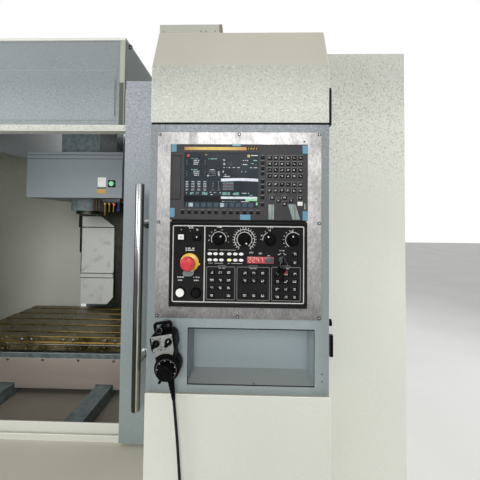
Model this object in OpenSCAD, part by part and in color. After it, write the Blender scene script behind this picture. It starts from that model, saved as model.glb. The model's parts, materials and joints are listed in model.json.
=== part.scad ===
// Vertical machining centre with an operator station at the right of its sliding doors.
// Millimetres. X runs to the operator's right, Y to the back, Z up, and the floor is at Z = 0.

/* [Overall] */
// Width over the side covers
machine_w = 2600; // [2560:10:2700]
// Depth from the pendant hook to the rear door
machine_d = 2300; // [2290:10:2400]
// Thickness of the folded sheet covers
sheet_t = 3; // [2:0.5:4]
// Height of the levelling feet
foot_h = 60; // [50:5:80]

/* [Operator cabinet] */
// Left edge of the cabinet, right of the machine's middle
cabinet_x = 470; // [468:1:475]
// Width of the cabinet
cabinet_w = 530; // [520:5:560]
// Height of the cabinet
cabinet_h = 784; // [780:2:800]
// Depth of the cabinet
cabinet_d = 125; // [115:1:127]
// Height of the cabinet's underside over the floor
cabinet_z = 950; // [940:5:970]
// Width of the shelf recess
recess_w = 369; // [340:1:380]
// Height of the shelf recess
recess_h = 165; // [140:1:172]
// Depth of the shelf recess
recess_d = 107; // [80:1:110]
// Height of the hood's upright face
hood_face_h = 172; // [150:1:200]
// Rise of the hood's sloping face
hood_rise = 141; // [120:1:160]
// Run of the hood's sloping face
hood_run = 62; // [50:1:80]
// Depth of the hood
hood_d = 225; // [210:5:260]
// Gap for the rubber seal under the hood
seal_h = 7; // [5:1:10]

/* [Control panel] */
// Width of the stainless plate
plate_w = 483; // [470:1:500]
// Height of the stainless plate
plate_h = 546; // [530:1:550]
// Thickness of the stainless plate
plate_t = 3; // [2:0.5:3]
// Width of the display unit
display_w = 400; // [398:1:410]
// Height of the display unit
display_h = 221; // [219:1:224]
// Thickness of the display bezel
bezel_t = 12; // [8:1:15]
// Width of the operator panel
panel_w = 398; // [396:1:410]
// Height of the operator panel
panel_h = 246; // [244:1:250]
// Thickness of the operator panel's face
panel_t = 6; // [4:1:8]
// How far the stop button stands out of the panel
stop_reach = 41; // [35:1:45]
// Diameter of the stop button's head
stop_d = 41; // [38:1:44]
// Diameter of the rotary knobs
knob_d = 34; // [28:1:36]

/* [Doors] */
// Width of each sliding door
door_w = 560; // [540:1:562]
// Height of the doors' top edge
door_top = 1930; // [1900:5:1940]
// Height of the doors' bottom edge
door_bottom = 700; // [698:1:720]
// Thickness of the doors
door_t = 16; // [12:1:18]
// Diameter of the handle tube
handle_d = 27; // [22:1:32]
// Length of the handle tube
handle_l = 702; // [600:1:702]
// Width of the door window
window_w = 320; // [250:5:330]
// Height of the door window
window_h = 600; // [450:5:650]
// Height of the opening's header beam
header_h = 22; // [20:1:28]

/* [Axes] */
// Travel of the table to each side together
x_travel = 850; // [600:10:860]
// Travel of the saddle forward and back together
y_travel = 500; // [400:10:500]
// Travel of the head
z_travel = 500; // [400:10:520]
// Place of the spindle axis, right of the machine's middle
spindle_x = -195; // [-195:1:-190]
// Distance of the spindle axis behind the cabinet's face
spindle_back = 882; // [870:1:890]
// Length of the table
table_w = 1000; // [900:10:1040]
// Width of the table
table_d = 520; // [480:10:540]
// Thickness of the table
table_t = 72; // [60:1:80]
// Height of the table top over the floor
table_z = 850; // [850:1:870]
// Width of the T-slots
slot_w = 18; // [14:1:22]

/* [Column and head] */
// Width of the column
column_w = 520; // [500:10:540]
// Height of the column's top over the floor
column_top = 2250; // [2200:10:2260]
// Width of the head cover
head_w = 534; // [500:2:540]
// Height of the head cover
head_h = 253; // [240:1:270]
// Height of the head cover's underside over the floor
head_z = 1568; // [1560:1:1580]
// Diameter of the spindle
spindle_d = 120; // [100:1:124]
// Diameter of the Z ball screw
screw_d = 40; // [32:1:44]
// Number of tool pots in the magazine
pots = 16; // [8:1:18]
// Width of the electrical cabinet
electric_w = 900; // [800:10:960]
// Depth of the electrical cabinet with its door
electric_d = 326; // [300:2:340]

/* [Pendant] */
// Width of the handwheel pendant
pendant_w = 70; // [68:1:74]
// Height of the handwheel pendant's body
pendant_h = 131; // [128:1:134]
// Thickness of the handwheel pendant
pendant_t = 50; // [44:1:54]
// Diameter of the pendant's handwheel
wheel_d = 42; // [38:1:46]
// Lean of the hanging pendant in degrees
pendant_lean = 9.5; // [8:0.5:10]
// Diameter of the pendant cord
cord_d = 8; // [7:0.5:9]

/* [Hidden] */
$fn = 48;
running_gap = 0.3;
cover_grey = "#8f9699";
cream = "#dcdcd0";
casting = "#6d7a7c";
steel = "#c9cbcc";
black = "#1b1b1c";

// Planes from front to back, as Y values
hang_gap = 12;
face_y = -machine_d / 2 + 2 * hang_gap + pendant_t;
door_y = face_y + 130;
wall_y = door_y + 35;
upper_y = wall_y + 25;
header_y = wall_y - 15;
rear_y = face_y + 1400;
electric_back = machine_d / 2;
electric_y = electric_back - electric_d;
base_front = face_y + 260;
base_l = electric_y - base_front;
// Side planes, as X values
left_x = -machine_w / 2;
right_x = machine_w / 2;
side_box_x = cabinet_x + cabinet_w;
opening_w = 960;
opening_left = spindle_x - 435;
opening_right = spindle_x + 525;
raised_right = spindle_x + 504;
raised_left = 2 * spindle_x - raised_right;
electric_x = spindle_x - electric_w / 2;
// Heights
tray_z = 560;
sill_z = 740;
header_z = 1761;
shoulder_z = 1928;
raised_z = 2118;
side_box_z = 2035;
cabinet_top = cabinet_z + cabinet_h;
hood_z = cabinet_top + seal_h;
hood_top = hood_z + hood_face_h + hood_rise;
cabinet_right = cabinet_x + cabinet_w;
plate_left = cabinet_x + (cabinet_w - plate_w) / 2;
plate_top = cabinet_top - 24;
plate_front = face_y - plate_t;
display_left = cabinet_x + (cabinet_w - display_w) / 2;
display_z = plate_top - 38.5 - display_h;
bezel_front = plate_front - bezel_t;
panel_left = display_left + (display_w - panel_w) / 2;
panel_z = display_z - 5 - panel_h;
panel_front = plate_front - panel_t;
body_margin = 12;
body_back = face_y + 60;
recess_x = cabinet_x + 120;
recess_z = cabinet_z + 21;
// Spindle, column and head
spindle_y = face_y + spindle_back;
way_w = 60;
way_x = 170;
way_front = rear_y - 42;
head_front = spindle_y - 162;
head_back = rear_y - 60;
screw_y = rear_y - 21;
column_flare = 70;
cover_front = face_y + 1100;
way_cover_w = 380;
way_cover_z = table_z + 30;
guard_w = 220;
table_underside = table_z - table_t;
saddle_z = tray_z + 60 + running_gap;
column_d = electric_y - rear_y;
carousel_y = rear_y + column_d / 2 + 5;
carousel_z = 1500;
carousel_r = column_d / 2 - 55;
carousel_x = spindle_x - column_w / 2 - 105;

module box(x0, x1, y0, y1, z0, z1) {
    translate([x0, y0, z0]) cube([x1 - x0, y1 - y0, z1 - z0]);
}

// A cylinder that starts at [x, y, z] and runs back along Y
module rod_y(x, y, z, d, l, d2 = 0) {
    translate([x, y, z]) rotate([-90, 0, 0]) cylinder(d1 = d, d2 = d2 == 0 ? d : d2, h = l);
}

// A cylinder that starts at [x, y, z] and runs right along X
module rod_x(x, y, z, d, l) {
    translate([x, y, z]) rotate([0, 90, 0]) cylinder(d = d, h = l);
}

// A box with rounded corners in the XZ plane
module plate_xz(x0, x1, y0, y1, z0, z1, r) {
    translate([0, y1, 0]) rotate([90, 0, 0]) linear_extrude(y1 - y0)
        union() {
            translate([x0 + r, z0]) square([x1 - x0 - 2 * r, z1 - z0]);
            translate([x0, z0 + r]) square([x1 - x0, z1 - z0 - 2 * r]);
            for (x = [x0 + r, x1 - r], z = [z0 + r, z1 - r]) translate([x, z]) circle(r, $fn = 24);
        }
}

module base_casting() {
    color(casting) difference() {
        union() {
            box(spindle_x - 480, spindle_x + 480, base_front, electric_y, foot_h, tray_z);
            for (s = [-1, 1])
                box(spindle_x + s * 250 - 40, spindle_x + s * 250 + 40, face_y + 330, rear_y - 30,
                    tray_z, tray_z + 60);
        }
        for (s = [-1, 1], k = [0:3])
            box(spindle_x + s * 480 - 60, spindle_x + s * 480 + 60, base_front + (k + 0.18) * base_l / 4,
                base_front + (k + 0.82) * base_l / 4, foot_h + 90, tray_z - 90);
        box(spindle_x - 150, spindle_x + 150, face_y + 400, rear_y - 60, tray_z - 90, tray_z + 1);
    }
}

module column_casting() {
    half = column_w / 2;
    color(casting) {
        difference() {
            translate([spindle_x, electric_y, 0]) rotate([90, 0, 0]) linear_extrude(electric_y - rear_y)
                polygon([[-half - column_flare, tray_z], [half + column_flare, tray_z],
                    [half, tray_z + 400], [half, column_top], [-half, column_top], [-half, tray_z + 400]]);
            for (s = [-1, 1], k = [0:2])
                box(spindle_x + s * half - 50, spindle_x + s * half + 50, rear_y + 110, electric_y - 110,
                    tray_z + 480 + k * 560 + (k > 0 ? 60 : 0), tray_z + 700 + k * 480 + (k > 0 ? 160 : 0));
        }
        for (s = [-1, 1])
            box(spindle_x + s * way_x - way_w / 2, spindle_x + s * way_x + way_w / 2, way_front + running_gap,
                rear_y, way_cover_z + 120, column_top - 60);
        // Bracket that carries the Z motor over the screw
        difference() {
            box(spindle_x - 90, spindle_x + 90, screw_y - 60, rear_y + 120, column_top, column_top + 50);
            translate([spindle_x, screw_y, column_top - 1]) cylinder(d = screw_d + 2 * running_gap, h = 52);
        }
        // Bearing boss of the tool magazine
        difference() {
            rod_x(spindle_x - half - 45, carousel_y, carousel_z, 110, 45);
            rod_x(spindle_x - half - 46, carousel_y, carousel_z, 60 + 2 * running_gap, 42);
        }
    }
}

module leveling_feet() {
    color(steel) for (x = [-400, 0, 400], y = [face_y + 340, electric_y - 120])
        translate([spindle_x + x, y, 0]) {
            cylinder(d = 130, h = foot_h * 0.4);
            cylinder(d = 34, h = foot_h);
            translate([0, 0, foot_h * 0.4]) cylinder(d = 60, h = 14, $fn = 6);
        }
}

module left_side_cover() {
    color(cream) {
        box(left_x, left_x + sheet_t, wall_y, rear_y, foot_h, shoulder_z);
        box(left_x + sheet_t, left_x + 40, wall_y + sheet_t, wall_y + 2 * sheet_t, foot_h, tray_z);
        box(left_x + sheet_t, left_x + 40, rear_y - 2 * sheet_t, rear_y - sheet_t, foot_h, tray_z);
    }
}

module right_side_cover() {
    y0 = header_y;
    color(cream) {
        box(side_box_x, right_x, y0, y0 + sheet_t, foot_h, side_box_z);
        box(right_x - sheet_t, right_x, y0 + sheet_t, rear_y, foot_h, side_box_z);
        box(side_box_x, side_box_x + sheet_t, y0 + sheet_t, rear_y, foot_h, side_box_z);
        box(side_box_x + sheet_t, right_x - sheet_t, rear_y - sheet_t, rear_y, foot_h, side_box_z);
        box(side_box_x + sheet_t, right_x - sheet_t, y0 + sheet_t, rear_y - sheet_t,
            side_box_z - sheet_t, side_box_z);
    }
}

module rear_cover() {
    color(cream) {
        // Back wall on each side of the column
        box(left_x + sheet_t, spindle_x - column_w / 2 - column_flare - 2, rear_y - sheet_t, rear_y,
            tray_z, shoulder_z);
        box(spindle_x + column_w / 2 + column_flare + 2, side_box_x, rear_y - sheet_t, rear_y,
            tray_z, shoulder_z);
        // Roof shoulders, with a front flange over the header beam
        for (x = [[left_x + sheet_t, raised_left], [raised_right, side_box_x]]) {
            box(x[0], x[1], upper_y, rear_y - sheet_t, shoulder_z - sheet_t, shoulder_z);
            box(x[0], x[1], upper_y, upper_y + sheet_t, header_z + header_h, shoulder_z - sheet_t);
        }
    }
}

module front_wall() {
    color(cream) {
        box(left_x + sheet_t, opening_left, wall_y, wall_y + sheet_t, door_bottom - 10, header_z);
        box(opening_right, side_box_x, wall_y, wall_y + sheet_t, door_bottom - 10, header_z);
        box(opening_left, opening_right, wall_y, wall_y + sheet_t, door_bottom - 10, sill_z);
        // Guide rail behind the doors' bottom edge
        box(left_x + sheet_t, side_box_x - sheet_t, door_y + door_t + running_gap, wall_y,
            door_bottom - 10, door_bottom - 4);
        box(left_x + sheet_t, side_box_x - sheet_t, door_y + door_t + running_gap, door_y + door_t + 6,
            door_bottom - 4, door_bottom + 12);
    }
}

module upper_front_cover() {
    z0 = header_z + header_h;
    color(cover_grey) {
        box(raised_left, raised_right, upper_y, upper_y + sheet_t, z0, raised_z);
        for (x = [raised_left, raised_right - sheet_t])
            box(x, x + sheet_t, upper_y + sheet_t, rear_y - sheet_t, z0 + 60, raised_z);
        box(raised_left + sheet_t, raised_right - sheet_t, upper_y + sheet_t, way_front - 60,
            raised_z - sheet_t, raised_z);
        // Raised access panel and top trim on the front
        box(raised_left + 34, raised_right - 34, upper_y - 2, upper_y, z0 + 30, raised_z - 118);
        box(raised_left, raised_right, upper_y - 6, upper_y, raised_z - 10, raised_z);
    }
}

module header_beam() {
    color(cream) box(left_x + sheet_t, side_box_x, header_y, upper_y, header_z, header_z + header_h);
}

module lower_front_cover() {
    y0 = face_y - 20;
    low_z = door_bottom - 10;
    ped = cabinet_x + 4;
    color(cream) {
        // Front sheet in two heights, with a lip in front of the cabinet's foot
        box(left_x, ped, y0, y0 + sheet_t, foot_h, low_z);
        box(ped, cabinet_right, y0, y0 + sheet_t, foot_h, cabinet_z + 6);
        // Top sheets and ends
        box(left_x, ped, y0 + sheet_t, wall_y, low_z - sheet_t, low_z);
        box(ped, cabinet_right, y0 + sheet_t, face_y + cabinet_d, cabinet_z - sheet_t, cabinet_z);
        box(ped, ped + sheet_t, y0 + sheet_t, face_y + cabinet_d, low_z, cabinet_z - sheet_t);
        box(ped + sheet_t, cabinet_right, face_y + cabinet_d - sheet_t, face_y + cabinet_d,
            low_z, cabinet_z - sheet_t);
        box(left_x, left_x + sheet_t, y0 + sheet_t, wall_y, foot_h, low_z - sheet_t);
        box(cabinet_right - sheet_t, cabinet_right, y0 + sheet_t, header_y, foot_h, cabinet_z - sheet_t);
        box(ped, side_box_x, y0 + sheet_t, wall_y, low_z - sheet_t, low_z);
    }
}

module chip_tray() {
    y0 = wall_y + sheet_t;
    color(cover_grey) {
        difference() {
            box(left_x + sheet_t, side_box_x, y0, rear_y - sheet_t, tray_z, tray_z + sheet_t);
            for (s = [-1, 1])
                box(spindle_x + s * 250 - 42, spindle_x + s * 250 + 42, face_y + 328, rear_y,
                    tray_z - 1, tray_z + sheet_t + 1);
            box(spindle_x - column_w / 2 - column_flare - 1, spindle_x + column_w / 2 + column_flare + 1,
                rear_y - sheet_t - 40, rear_y, tray_z - 1, tray_z + sheet_t + 1);
        }
        box(left_x + sheet_t, side_box_x, y0, y0 + sheet_t, tray_z + sheet_t, sill_z);
        // Sloping front skirt that leads chips into the tray
        translate([side_box_x, y0 + sheet_t, tray_z + sheet_t]) rotate([0, -90, 0])
            linear_extrude(side_box_x - left_x - sheet_t)
            polygon([[0, 0], [110, 0], [110, sheet_t], [sheet_t, 70], [0, 70]]);
    }
}

module electrical_cabinet() {
    x0 = electric_x;
    x1 = electric_x + electric_w;
    back = electric_back - 20;
    color(cream) {
        difference() {
            box(x0, x1, electric_y, back, 300, 2000);
            box(x0 + sheet_t, x1 - sheet_t, electric_y + sheet_t, back + 1, 300 + sheet_t, 2000 - sheet_t);
        }
        // Louvre fins on the right side
        for (k = [0:7]) box(x1, x1 + 6, electric_y + 60, electric_y + 260, 1560 + k * 30, 1572 + k * 30);
    }
    // Equipment plate with contactors and drives
    color(steel) {
        box(x0 + sheet_t, x1 - sheet_t, electric_y + sheet_t, electric_y + 12, 360, 1940);
        for (k = [0:4]) box(x0 + 90 + k * 150, x0 + 210 + k * 150, electric_y + 12, electric_y + 200, 1250, 1700);
        for (k = [0:2]) box(x0 + 90, x1 - 90, electric_y + 12, electric_y + 70, 480 + k * 220, 540 + k * 220);
    }
}

module electrical_door() {
    x0 = electric_x;
    x1 = electric_x + electric_w;
    color(cream) {
        box(x0, x1, electric_back - 20 + running_gap, electric_back - 12, 300, 2000);
        plate_xz(x0 + 12, x1 - 12, electric_back - 12, electric_back - 8, 312, 1988, 8);
        // Hinge knuckles along the left edge
        for (z = [420, 1110, 1800]) translate([x0 - 5, electric_back - 14, z]) cylinder(d = 12, h = 80);
        // Latch plate
        plate_xz(x1 - 70, x1 - 40, electric_back - 8, electric_back, 1090, 1210, 6);
    }
}

module main_switch() {
    x0 = electric_x;
    color("firebrick") {
        rod_x(x0 - 28, electric_back - 120, 1500, 56, 28 - running_gap);
        box(x0 - 42, x0 - 28, electric_back - 150, electric_back - 90, 1490, 1510);
    }
}

module control_cabinet() {
    x0 = cabinet_x;
    x1 = cabinet_right;
    back = face_y + cabinet_d;
    t = sheet_t;
    color(cover_grey) {
        // Front sheet with the cut-outs for the electronics and the shelf
        difference() {
            box(x0, x1, face_y, face_y + t, cabinet_z, cabinet_top);
            box(plate_left + 20, plate_left + plate_w - 20, face_y - 1, face_y + t + 1,
                plate_top - plate_h + 20, plate_top - 20);
            box(recess_x, recess_x + recess_w, face_y - 1, face_y + t + 1, recess_z, recess_z + recess_h);
        }
        // Back, left, right, top and bottom
        box(x0, x1, back - t, back, cabinet_z, cabinet_top);
        box(x0, x0 + t, face_y + t, back - t, cabinet_z, cabinet_top);
        box(x1 - t - 2, x1 - 2, face_y + t, back - t, cabinet_z, cabinet_top);
        box(x0 + t, x1 - t - 2, face_y + t, back - t, cabinet_z, cabinet_z + t);
        box(x0 + t, x1 - t - 2, face_y + t, back - t, cabinet_top - t, cabinet_top);
        // Shelf tub behind the recess
        difference() {
            box(recess_x - t, recess_x + recess_w + t, face_y + t, face_y + recess_d + t,
                recess_z - t, recess_z + recess_h + t);
            box(recess_x, recess_x + recess_w, face_y - 1, face_y + recess_d,
                recess_z, recess_z + recess_h);
        }
    }
    // Hook for the pendant, with its tab, its peg and the peg's end
    color(black) {
        box(hook_x - 9, hook_x + 9, face_y - plate_t - 1, face_y, hook_z - 31, hook_z - 4);
        box(hook_x - 9, hook_x + 9, face_y - plate_t - 5, face_y - plate_t - 1, hook_z - 31, hook_z + 7);
        rod_y(hook_x, pendant_front - 8, hook_z, 10, plate_front - 5 - pendant_front + 8);
        rod_y(hook_x, pendant_front - hang_gap, hook_z, 16, 4);
    }
}

// The hood's outline as [height, depth] points, drawn inward by t. It steps back over the doors' top edge
function hood_outline(t) = let (step_z = door_top + 15) [[hood_z + t, t], [hood_z + hood_face_h - t / 4, t],
    [hood_top - t, hood_run + t], [hood_top - t, hood_d - t], [step_z + t, hood_d - t],
    [step_z + t, cabinet_d - t], [hood_z + t, cabinet_d - t]];

module cabinet_hood() {
    t = sheet_t;
    color(cream) translate([cabinet_right, face_y, 0]) rotate([0, -90, 0]) {
        // End sheets and the folded skin between them
        for (z = [0, cabinet_w - t]) translate([0, 0, z]) linear_extrude(t) polygon(hood_outline(0));
        translate([0, 0, t]) linear_extrude(cabinet_w - 2 * t) difference() {
            polygon(hood_outline(0));
            polygon(hood_outline(t));
        }
    }
}

module hood_seal() {
    color(black) {
        box(cabinet_x + 2, cabinet_right, face_y + 2, face_y + cabinet_d, cabinet_top, hood_z);
        // Strip up the hood's right side, with a rounded top corner
        translate([cabinet_right, face_y, 0]) rotate([90, 0, 90]) linear_extrude(7) difference() {
            union() {
                translate([0, cabinet_top]) square([18, 92 + seal_h]);
                translate([18, cabinet_top]) square([cabinet_d - 18, 110 + seal_h]);
                translate([18, cabinet_top + 92 + seal_h]) circle(18);
            }
            translate([6, cabinet_top + seal_h]) square([cabinet_d - 12, 86]);
        }
    }
}

module cable_duct() {
    x0 = cabinet_x + 1;
    y0 = face_y + hood_run + 2;
    z0 = hood_top + 6;
    z1 = hood_top + 102;
    run_y = electric_y + 60;
    color("#8a8178") {
        // Low junction box on the hood, then the duct behind it
        box(x0, x0 + 195, y0, y0 + 166, hood_top, hood_top + 29);
        box(x0 + 9, x0 + 129, y0 + 166, run_y + 120, z0, z1);
        box(spindle_x + 295, x0 + 9, run_y, run_y + 120, z0, z1);
        box(spindle_x + 295, spindle_x + 415, run_y, run_y + 120, 2000, z0);
    }
}

module mounting_plate() {
    m = body_margin;
    color(steel) difference() {
        box(plate_left, plate_left + plate_w, plate_front, face_y, plate_top - plate_h, plate_top);
        box(display_left + m - 1, display_left + display_w - m + 1, plate_front - 1, face_y + 1,
            display_z + m - 1, display_z + display_h - m + 1);
        box(panel_left + m - 1, panel_left + panel_w - m + 1, plate_front - 1, face_y + 1,
            panel_z + m - 1, panel_z + panel_h - m + 1);
    }
}

module plate_screws() {
    inset = 6;
    x0 = plate_left + inset;
    x1 = plate_left + plate_w - inset;
    z0 = plate_top - plate_h + inset;
    z1 = plate_top - inset;
    middle = (x0 + x1) / 2;
    color(steel) for (p = [[x0, z0], [middle, z0], [x1, z0], [x0, z0 + 273], [x1, z0 + 273],
            [x0, z1], [middle, z1], [x1, z1]])
        difference() {
            rod_y(p[0], plate_front - 2.5, p[1], 8, 2.5, 10);
            box(p[0] - 4, p[0] + 4, plate_front - 3, plate_front - 1.8, p[1] - 0.6, p[1] + 0.6);
        }
}

// One key, standing out of the plane y, centred at [x, z]
module key(x, z, y, w, h, t) {
    box(x - w / 2, x + w / 2, y - t, y, z - h / 2, z + h / 2);
}

module display_unit() {
    m = body_margin;
    key_t = 1.6;
    color("#3c3a3d") {
        difference() {
            plate_xz(display_left, display_left + display_w, bezel_front, plate_front,
                display_z, display_z + display_h, 5);
            // Window for the screen and pocket for the card door
            box(screen_x0, screen_x1, bezel_front - 1, bezel_front + 5, screen_z0, screen_z1);
            box(display_left + 1.5, display_left + 31, bezel_front - 1, bezel_front + 4,
                display_z + 58, display_z + 187);
        }
        box(display_left + m, display_left + display_w - m, plate_front, body_back,
            display_z + m, display_z + display_h - m);
        // Amber bar's carrier over the screen
        box(screen_x0, screen_x1, bezel_front - 1, bezel_front, screen_z1 + 7, screen_z1 + 18);
    }
    color("#bfc3c6") {
        for (k = [0:11])
            key(display_left + 37 + k * 19.6 + (k > 5 ? 3 : 0), display_z + 22, bezel_front, 11.5, 10, key_t);
        for (k = [0:8])
            key(display_left + 269.4, display_z + 182.3 - k * 15.7 - (k > 3 ? 6 : 0) - (k > 7 ? 5 : 0),
                bezel_front, 10.5, 9.5, key_t);
        for (i = [0:5], j = [0:5])
            key(display_left + 289 + i * 17.8, display_z + 181.4 - j * 17.7 - (j > 3 ? 6.2 : 0),
                bezel_front, 12.5, 12, key_t);
        for (p = [[297.8, 66], [297.8, 50.6], [332.9, 66], [314.9, 57.7], [350.6, 57.7], [332.9, 48.8],
                [377.5, 66], [377.5, 48.8]])
            key(display_left + p[0], display_z + p[1], bezel_front, 12.5, 8, key_t);
    }
}

screen_x0 = display_left + 41.5;
screen_x1 = screen_x0 + 215.7;
screen_z0 = display_z + 35.3;
screen_z1 = screen_z0 + 160.6;

module display_screen() {
    color("#35414f") box(screen_x0, screen_x1, bezel_front + 2, bezel_front + 5, screen_z0, screen_z1);
}

module card_slot_door() {
    color("#454347") {
        box(display_left + 2, display_left + 30.5, bezel_front - 0.5, bezel_front + 2,
            display_z + 59, display_z + 186);
        translate([display_left + 3.2, bezel_front - 0.2, display_z + 59]) cylinder(d = 2.4, h = 127);
        box(display_left + 24, display_left + 29, bezel_front - 2, bezel_front - 0.5,
            display_z + 115, display_z + 131);
    }
}

module corner_tapes() {
    t = 0.5;
    u = display_left;
    v = display_z;
    // Each tab as left, right, bottom and top from the display's lower left corner
    color("#5aa5c8") for (p = [[2.5, 17.5, 198, display_h], [display_w - 16, display_w, 194, 218],
            [0, 14.5, 7, 33.5], [display_w - 15, display_w - 1, 1, 28],
            [181, 205, 215, display_h], [205, 235, 1, 16]])
        box(u + p[0], u + p[1], bezel_front - t, bezel_front, v + p[2], v + p[3]);
}

// Places on the operator panel, from its lower left corner
stop_u = 59;
stop_v = 127;
knob_v = 195;
knob_u = [142.7, 217.5, 292.4, 358.3];
switch_u = 326.5;
switch_v = 138;
square_u = [33.2, 79.2];
square_v = 200.5;
round_u = [32.4, 78.3];
round_v = 39.7;

module operator_panel() {
    m = body_margin;
    u = panel_left;
    v = panel_z;
    y = panel_front;
    key_t = 1.8;
    color(black) {
        difference() {
            plate_xz(u, u + panel_w, y, plate_front, v, v + panel_h, 4);
            // Window of the speed readout
            box(u + 226, u + 302, y - 1, y + 1.5, v + 127.5, v + 144);
            button_wells(y - 1, panel_t + 2);
        }
        difference() {
            box(u + m, u + panel_w - m, plate_front, body_back, v + m, v + panel_h - m);
            button_wells(plate_front - 1, 7);
        }
        // Collars of the four knobs and of the buttons
        for (x = knob_u) ring_y(u + x, y - 2, v + knob_v, knob_d + 6, knob_d + 1, 2);
        for (x = round_u) ring_y(u + x, y - 3, v + round_v, 30, 24.6, 3);
        ring_y(u + switch_u, y - 3, v + switch_v, 24, 18.6, 3);
        for (x = square_u) difference() {
            key(u + x, v + square_v, y, 21, 19, 3);
            key(u + x, v + square_v, y + 1, 17.6, 15.6, 6);
        }
        // Key fields
        for (i = [0:2], j = [0:3]) key(u + 125 + i * 24.6, v + 96.6 - j * 21.8, y, 19, 16, key_t);
        for (i = [0:2], j = [0:1]) key(u + 218 + i * 25.7, v + 97.2 - j * 21.6, y, 20, 16, key_t);
        for (i = [0:2]) key(u + 214.2 + i * 29.4, v + 31, y, 20, 16, key_t);
        for (i = [0:2], j = [0:3]) key(u + 314.3 + i * 25.2, v + 97.6 - j * 21.9, y, 19, 16, key_t);
        for (z = [154.8, 130]) key(u + 363.7, v + z, y, 18, 14, key_t);
    }
    // Status lamps in two rows
    color("white") for (i = [0:5], z = [152.7, 135])
        key(u + 117.3 + i * 16.6 + (i > 2 ? 7.5 : 0), v + z, y, 13.5, 8.5, 1);
    // Yellow collar of the stop button
    color("gold") ring_y(u + stop_u, y - 6, v + stop_v, 54, 26.6, 6);
}

// Wells that the push buttons travel in
module button_wells(y, l) {
    rod_y(panel_left + stop_u, y, panel_z + stop_v, 26.6, l);
    for (x = round_u) rod_y(panel_left + x, y, panel_z + round_v, 24.6, l);
    for (x = square_u) key(panel_left + x, panel_z + square_v, y + l, 17.6, 15.6, l);
}

module ring_y(x, y, z, d, bore, l) {
    difference() {
        rod_y(x, y, z, d, l);
        rod_y(x, y - 1, z, bore, l + 2);
    }
}

// A button stem of diameter d that stands out of the panel by reach
module stop_button() {
    x = panel_left + stop_u;
    z = panel_z + stop_v;
    front = panel_front - stop_reach;
    color("#d8323c") {
        rod_y(x, front + 14, z, 26, stop_reach - 14);
        rod_y(x, front, z, stop_d - 10, 5, stop_d);
        rod_y(x, front + 5, z, stop_d, 9);
    }
}

// A rotary knob of the operator panel, with its pointer rib
module knob(u, v) {
    x = panel_left + u;
    z = panel_z + v;
    color(black) {
        rod_y(x, panel_front - 6, z, knob_d, 6);
        rod_y(x, panel_front - 20, z, knob_d - 6, 14, knob_d - 3);
        box(x - 3, x + 3, panel_front - 22, panel_front - 10, z - 6, z + knob_d / 2 - 1);
    }
}

module key_switch() {
    x = panel_left + switch_u;
    z = panel_z + switch_v;
    color(steel) {
        rod_y(x, panel_front - 8, z, 18, 8);
        box(x - 1.2, x + 1.2, panel_front - 24, panel_front - 8, z - 5, z + 5);
        rod_y(x, panel_front - 32, z, 2.4, 8);
        box(x - 1.2, x + 1.2, panel_front - 46, panel_front - 24, z - 11, z + 11);
    }
}

module round_button(k) {
    color(k == 0 ? "white" : "#202020") {
        rod_y(panel_left + round_u[k], panel_front - 7, panel_z + round_v, 24, 7);
    }
}

module square_button(k) {
    color(k == 0 ? "#e6e6e2" : "#202020")
        key(panel_left + square_u[k], panel_z + square_v, panel_front, 17, 15, 6);
}

module side_door() {
    x0 = cabinet_right - 2;
    y0 = face_y + sheet_t + 2;
    y1 = face_y + cabinet_d - 5;
    color(cover_grey) {
        box(x0 + running_gap, x0 + 3, y0, y1, cabinet_z + 30, cabinet_top - 30);
        // Hinge knuckles along the back edge
        for (z = [cabinet_z + 80, cabinet_top - 130]) translate([x0 + 5.2, y1 + 1, z]) cylinder(d = 6, h = 50);
    }
    // Pull handle and lock knob
    color(black) {
        for (z = [pull_z + 5, pull_z + 60]) rod_x(x0 + 3, face_y + 50, z, 9, 21);
        box(x0 + 17, x0 + 27, face_y + 44, face_y + 56, pull_z, pull_z + 65);
        rod_x(x0 + 3, face_y + 20, pull_z + 112, 20, 11);
    }
}

pull_z = cabinet_z + 89;

// A sliding door whose inner edge is at inner; side is 1 for the right door and -1 for the left one
module door(inner, side) {
    x0 = side > 0 ? inner : inner - door_w;
    wx = side > 0 ? inner + door_w - window_w - 40 : inner - door_w + 40;
    wz = door_bottom + 420;
    y0 = door_y;
    color(cover_grey) {
        difference() {
            box(x0, x0 + door_w, y0, y0 + door_t, door_bottom, door_top);
            box(wx, wx + window_w, y0 - 1, y0 + door_t + 1, wz, wz + window_h);
            box(wx - 15, wx + window_w + 15, y0 + door_t - 7, y0 + door_t + 1, wz - 15, wz + window_h + 15);
        }
        // Carriers that ride on the header beam
        for (x = [x0 + 60, x0 + door_w - 100])
            box(x, x + 40, y0 + door_t, header_y + 24, header_z + header_h + running_gap,
                header_z + header_h + 22);
    }
}

module door_window(inner, side) {
    wx = side > 0 ? inner + door_w - window_w - 40 : inner - door_w + 40;
    wz = door_bottom + 420;
    color("#b7c3c4") box(wx - 14, wx + window_w + 14, door_y + door_t - 7, door_y + door_t - 1,
        wz - 14, wz + window_h + 14);
}

// The handle tube in front of a door, with its two standoffs
module door_handle(inner, side) {
    x = inner + side * 85;
    y = door_y - 78;
    top = door_top - 368;
    color(steel) {
        translate([x, y, top - handle_l]) cylinder(d = handle_d, h = handle_l);
        for (z = [top - 127, top - 537]) {
            rod_y(x, y, z, 17, 78);
            rod_y(x, door_y - 8, z, 30, 8);
        }
    }
}

door_right_x = opening_right + 7;
door_left_x = 2 * spindle_x - door_right_x;

module servo_motor(x, y, z) {
    translate([x, y, z]) {
        translate([-65, -65, 0]) cube([130, 130, 110]);
        cylinder(d = 124, h = 170);
    }
}

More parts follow.
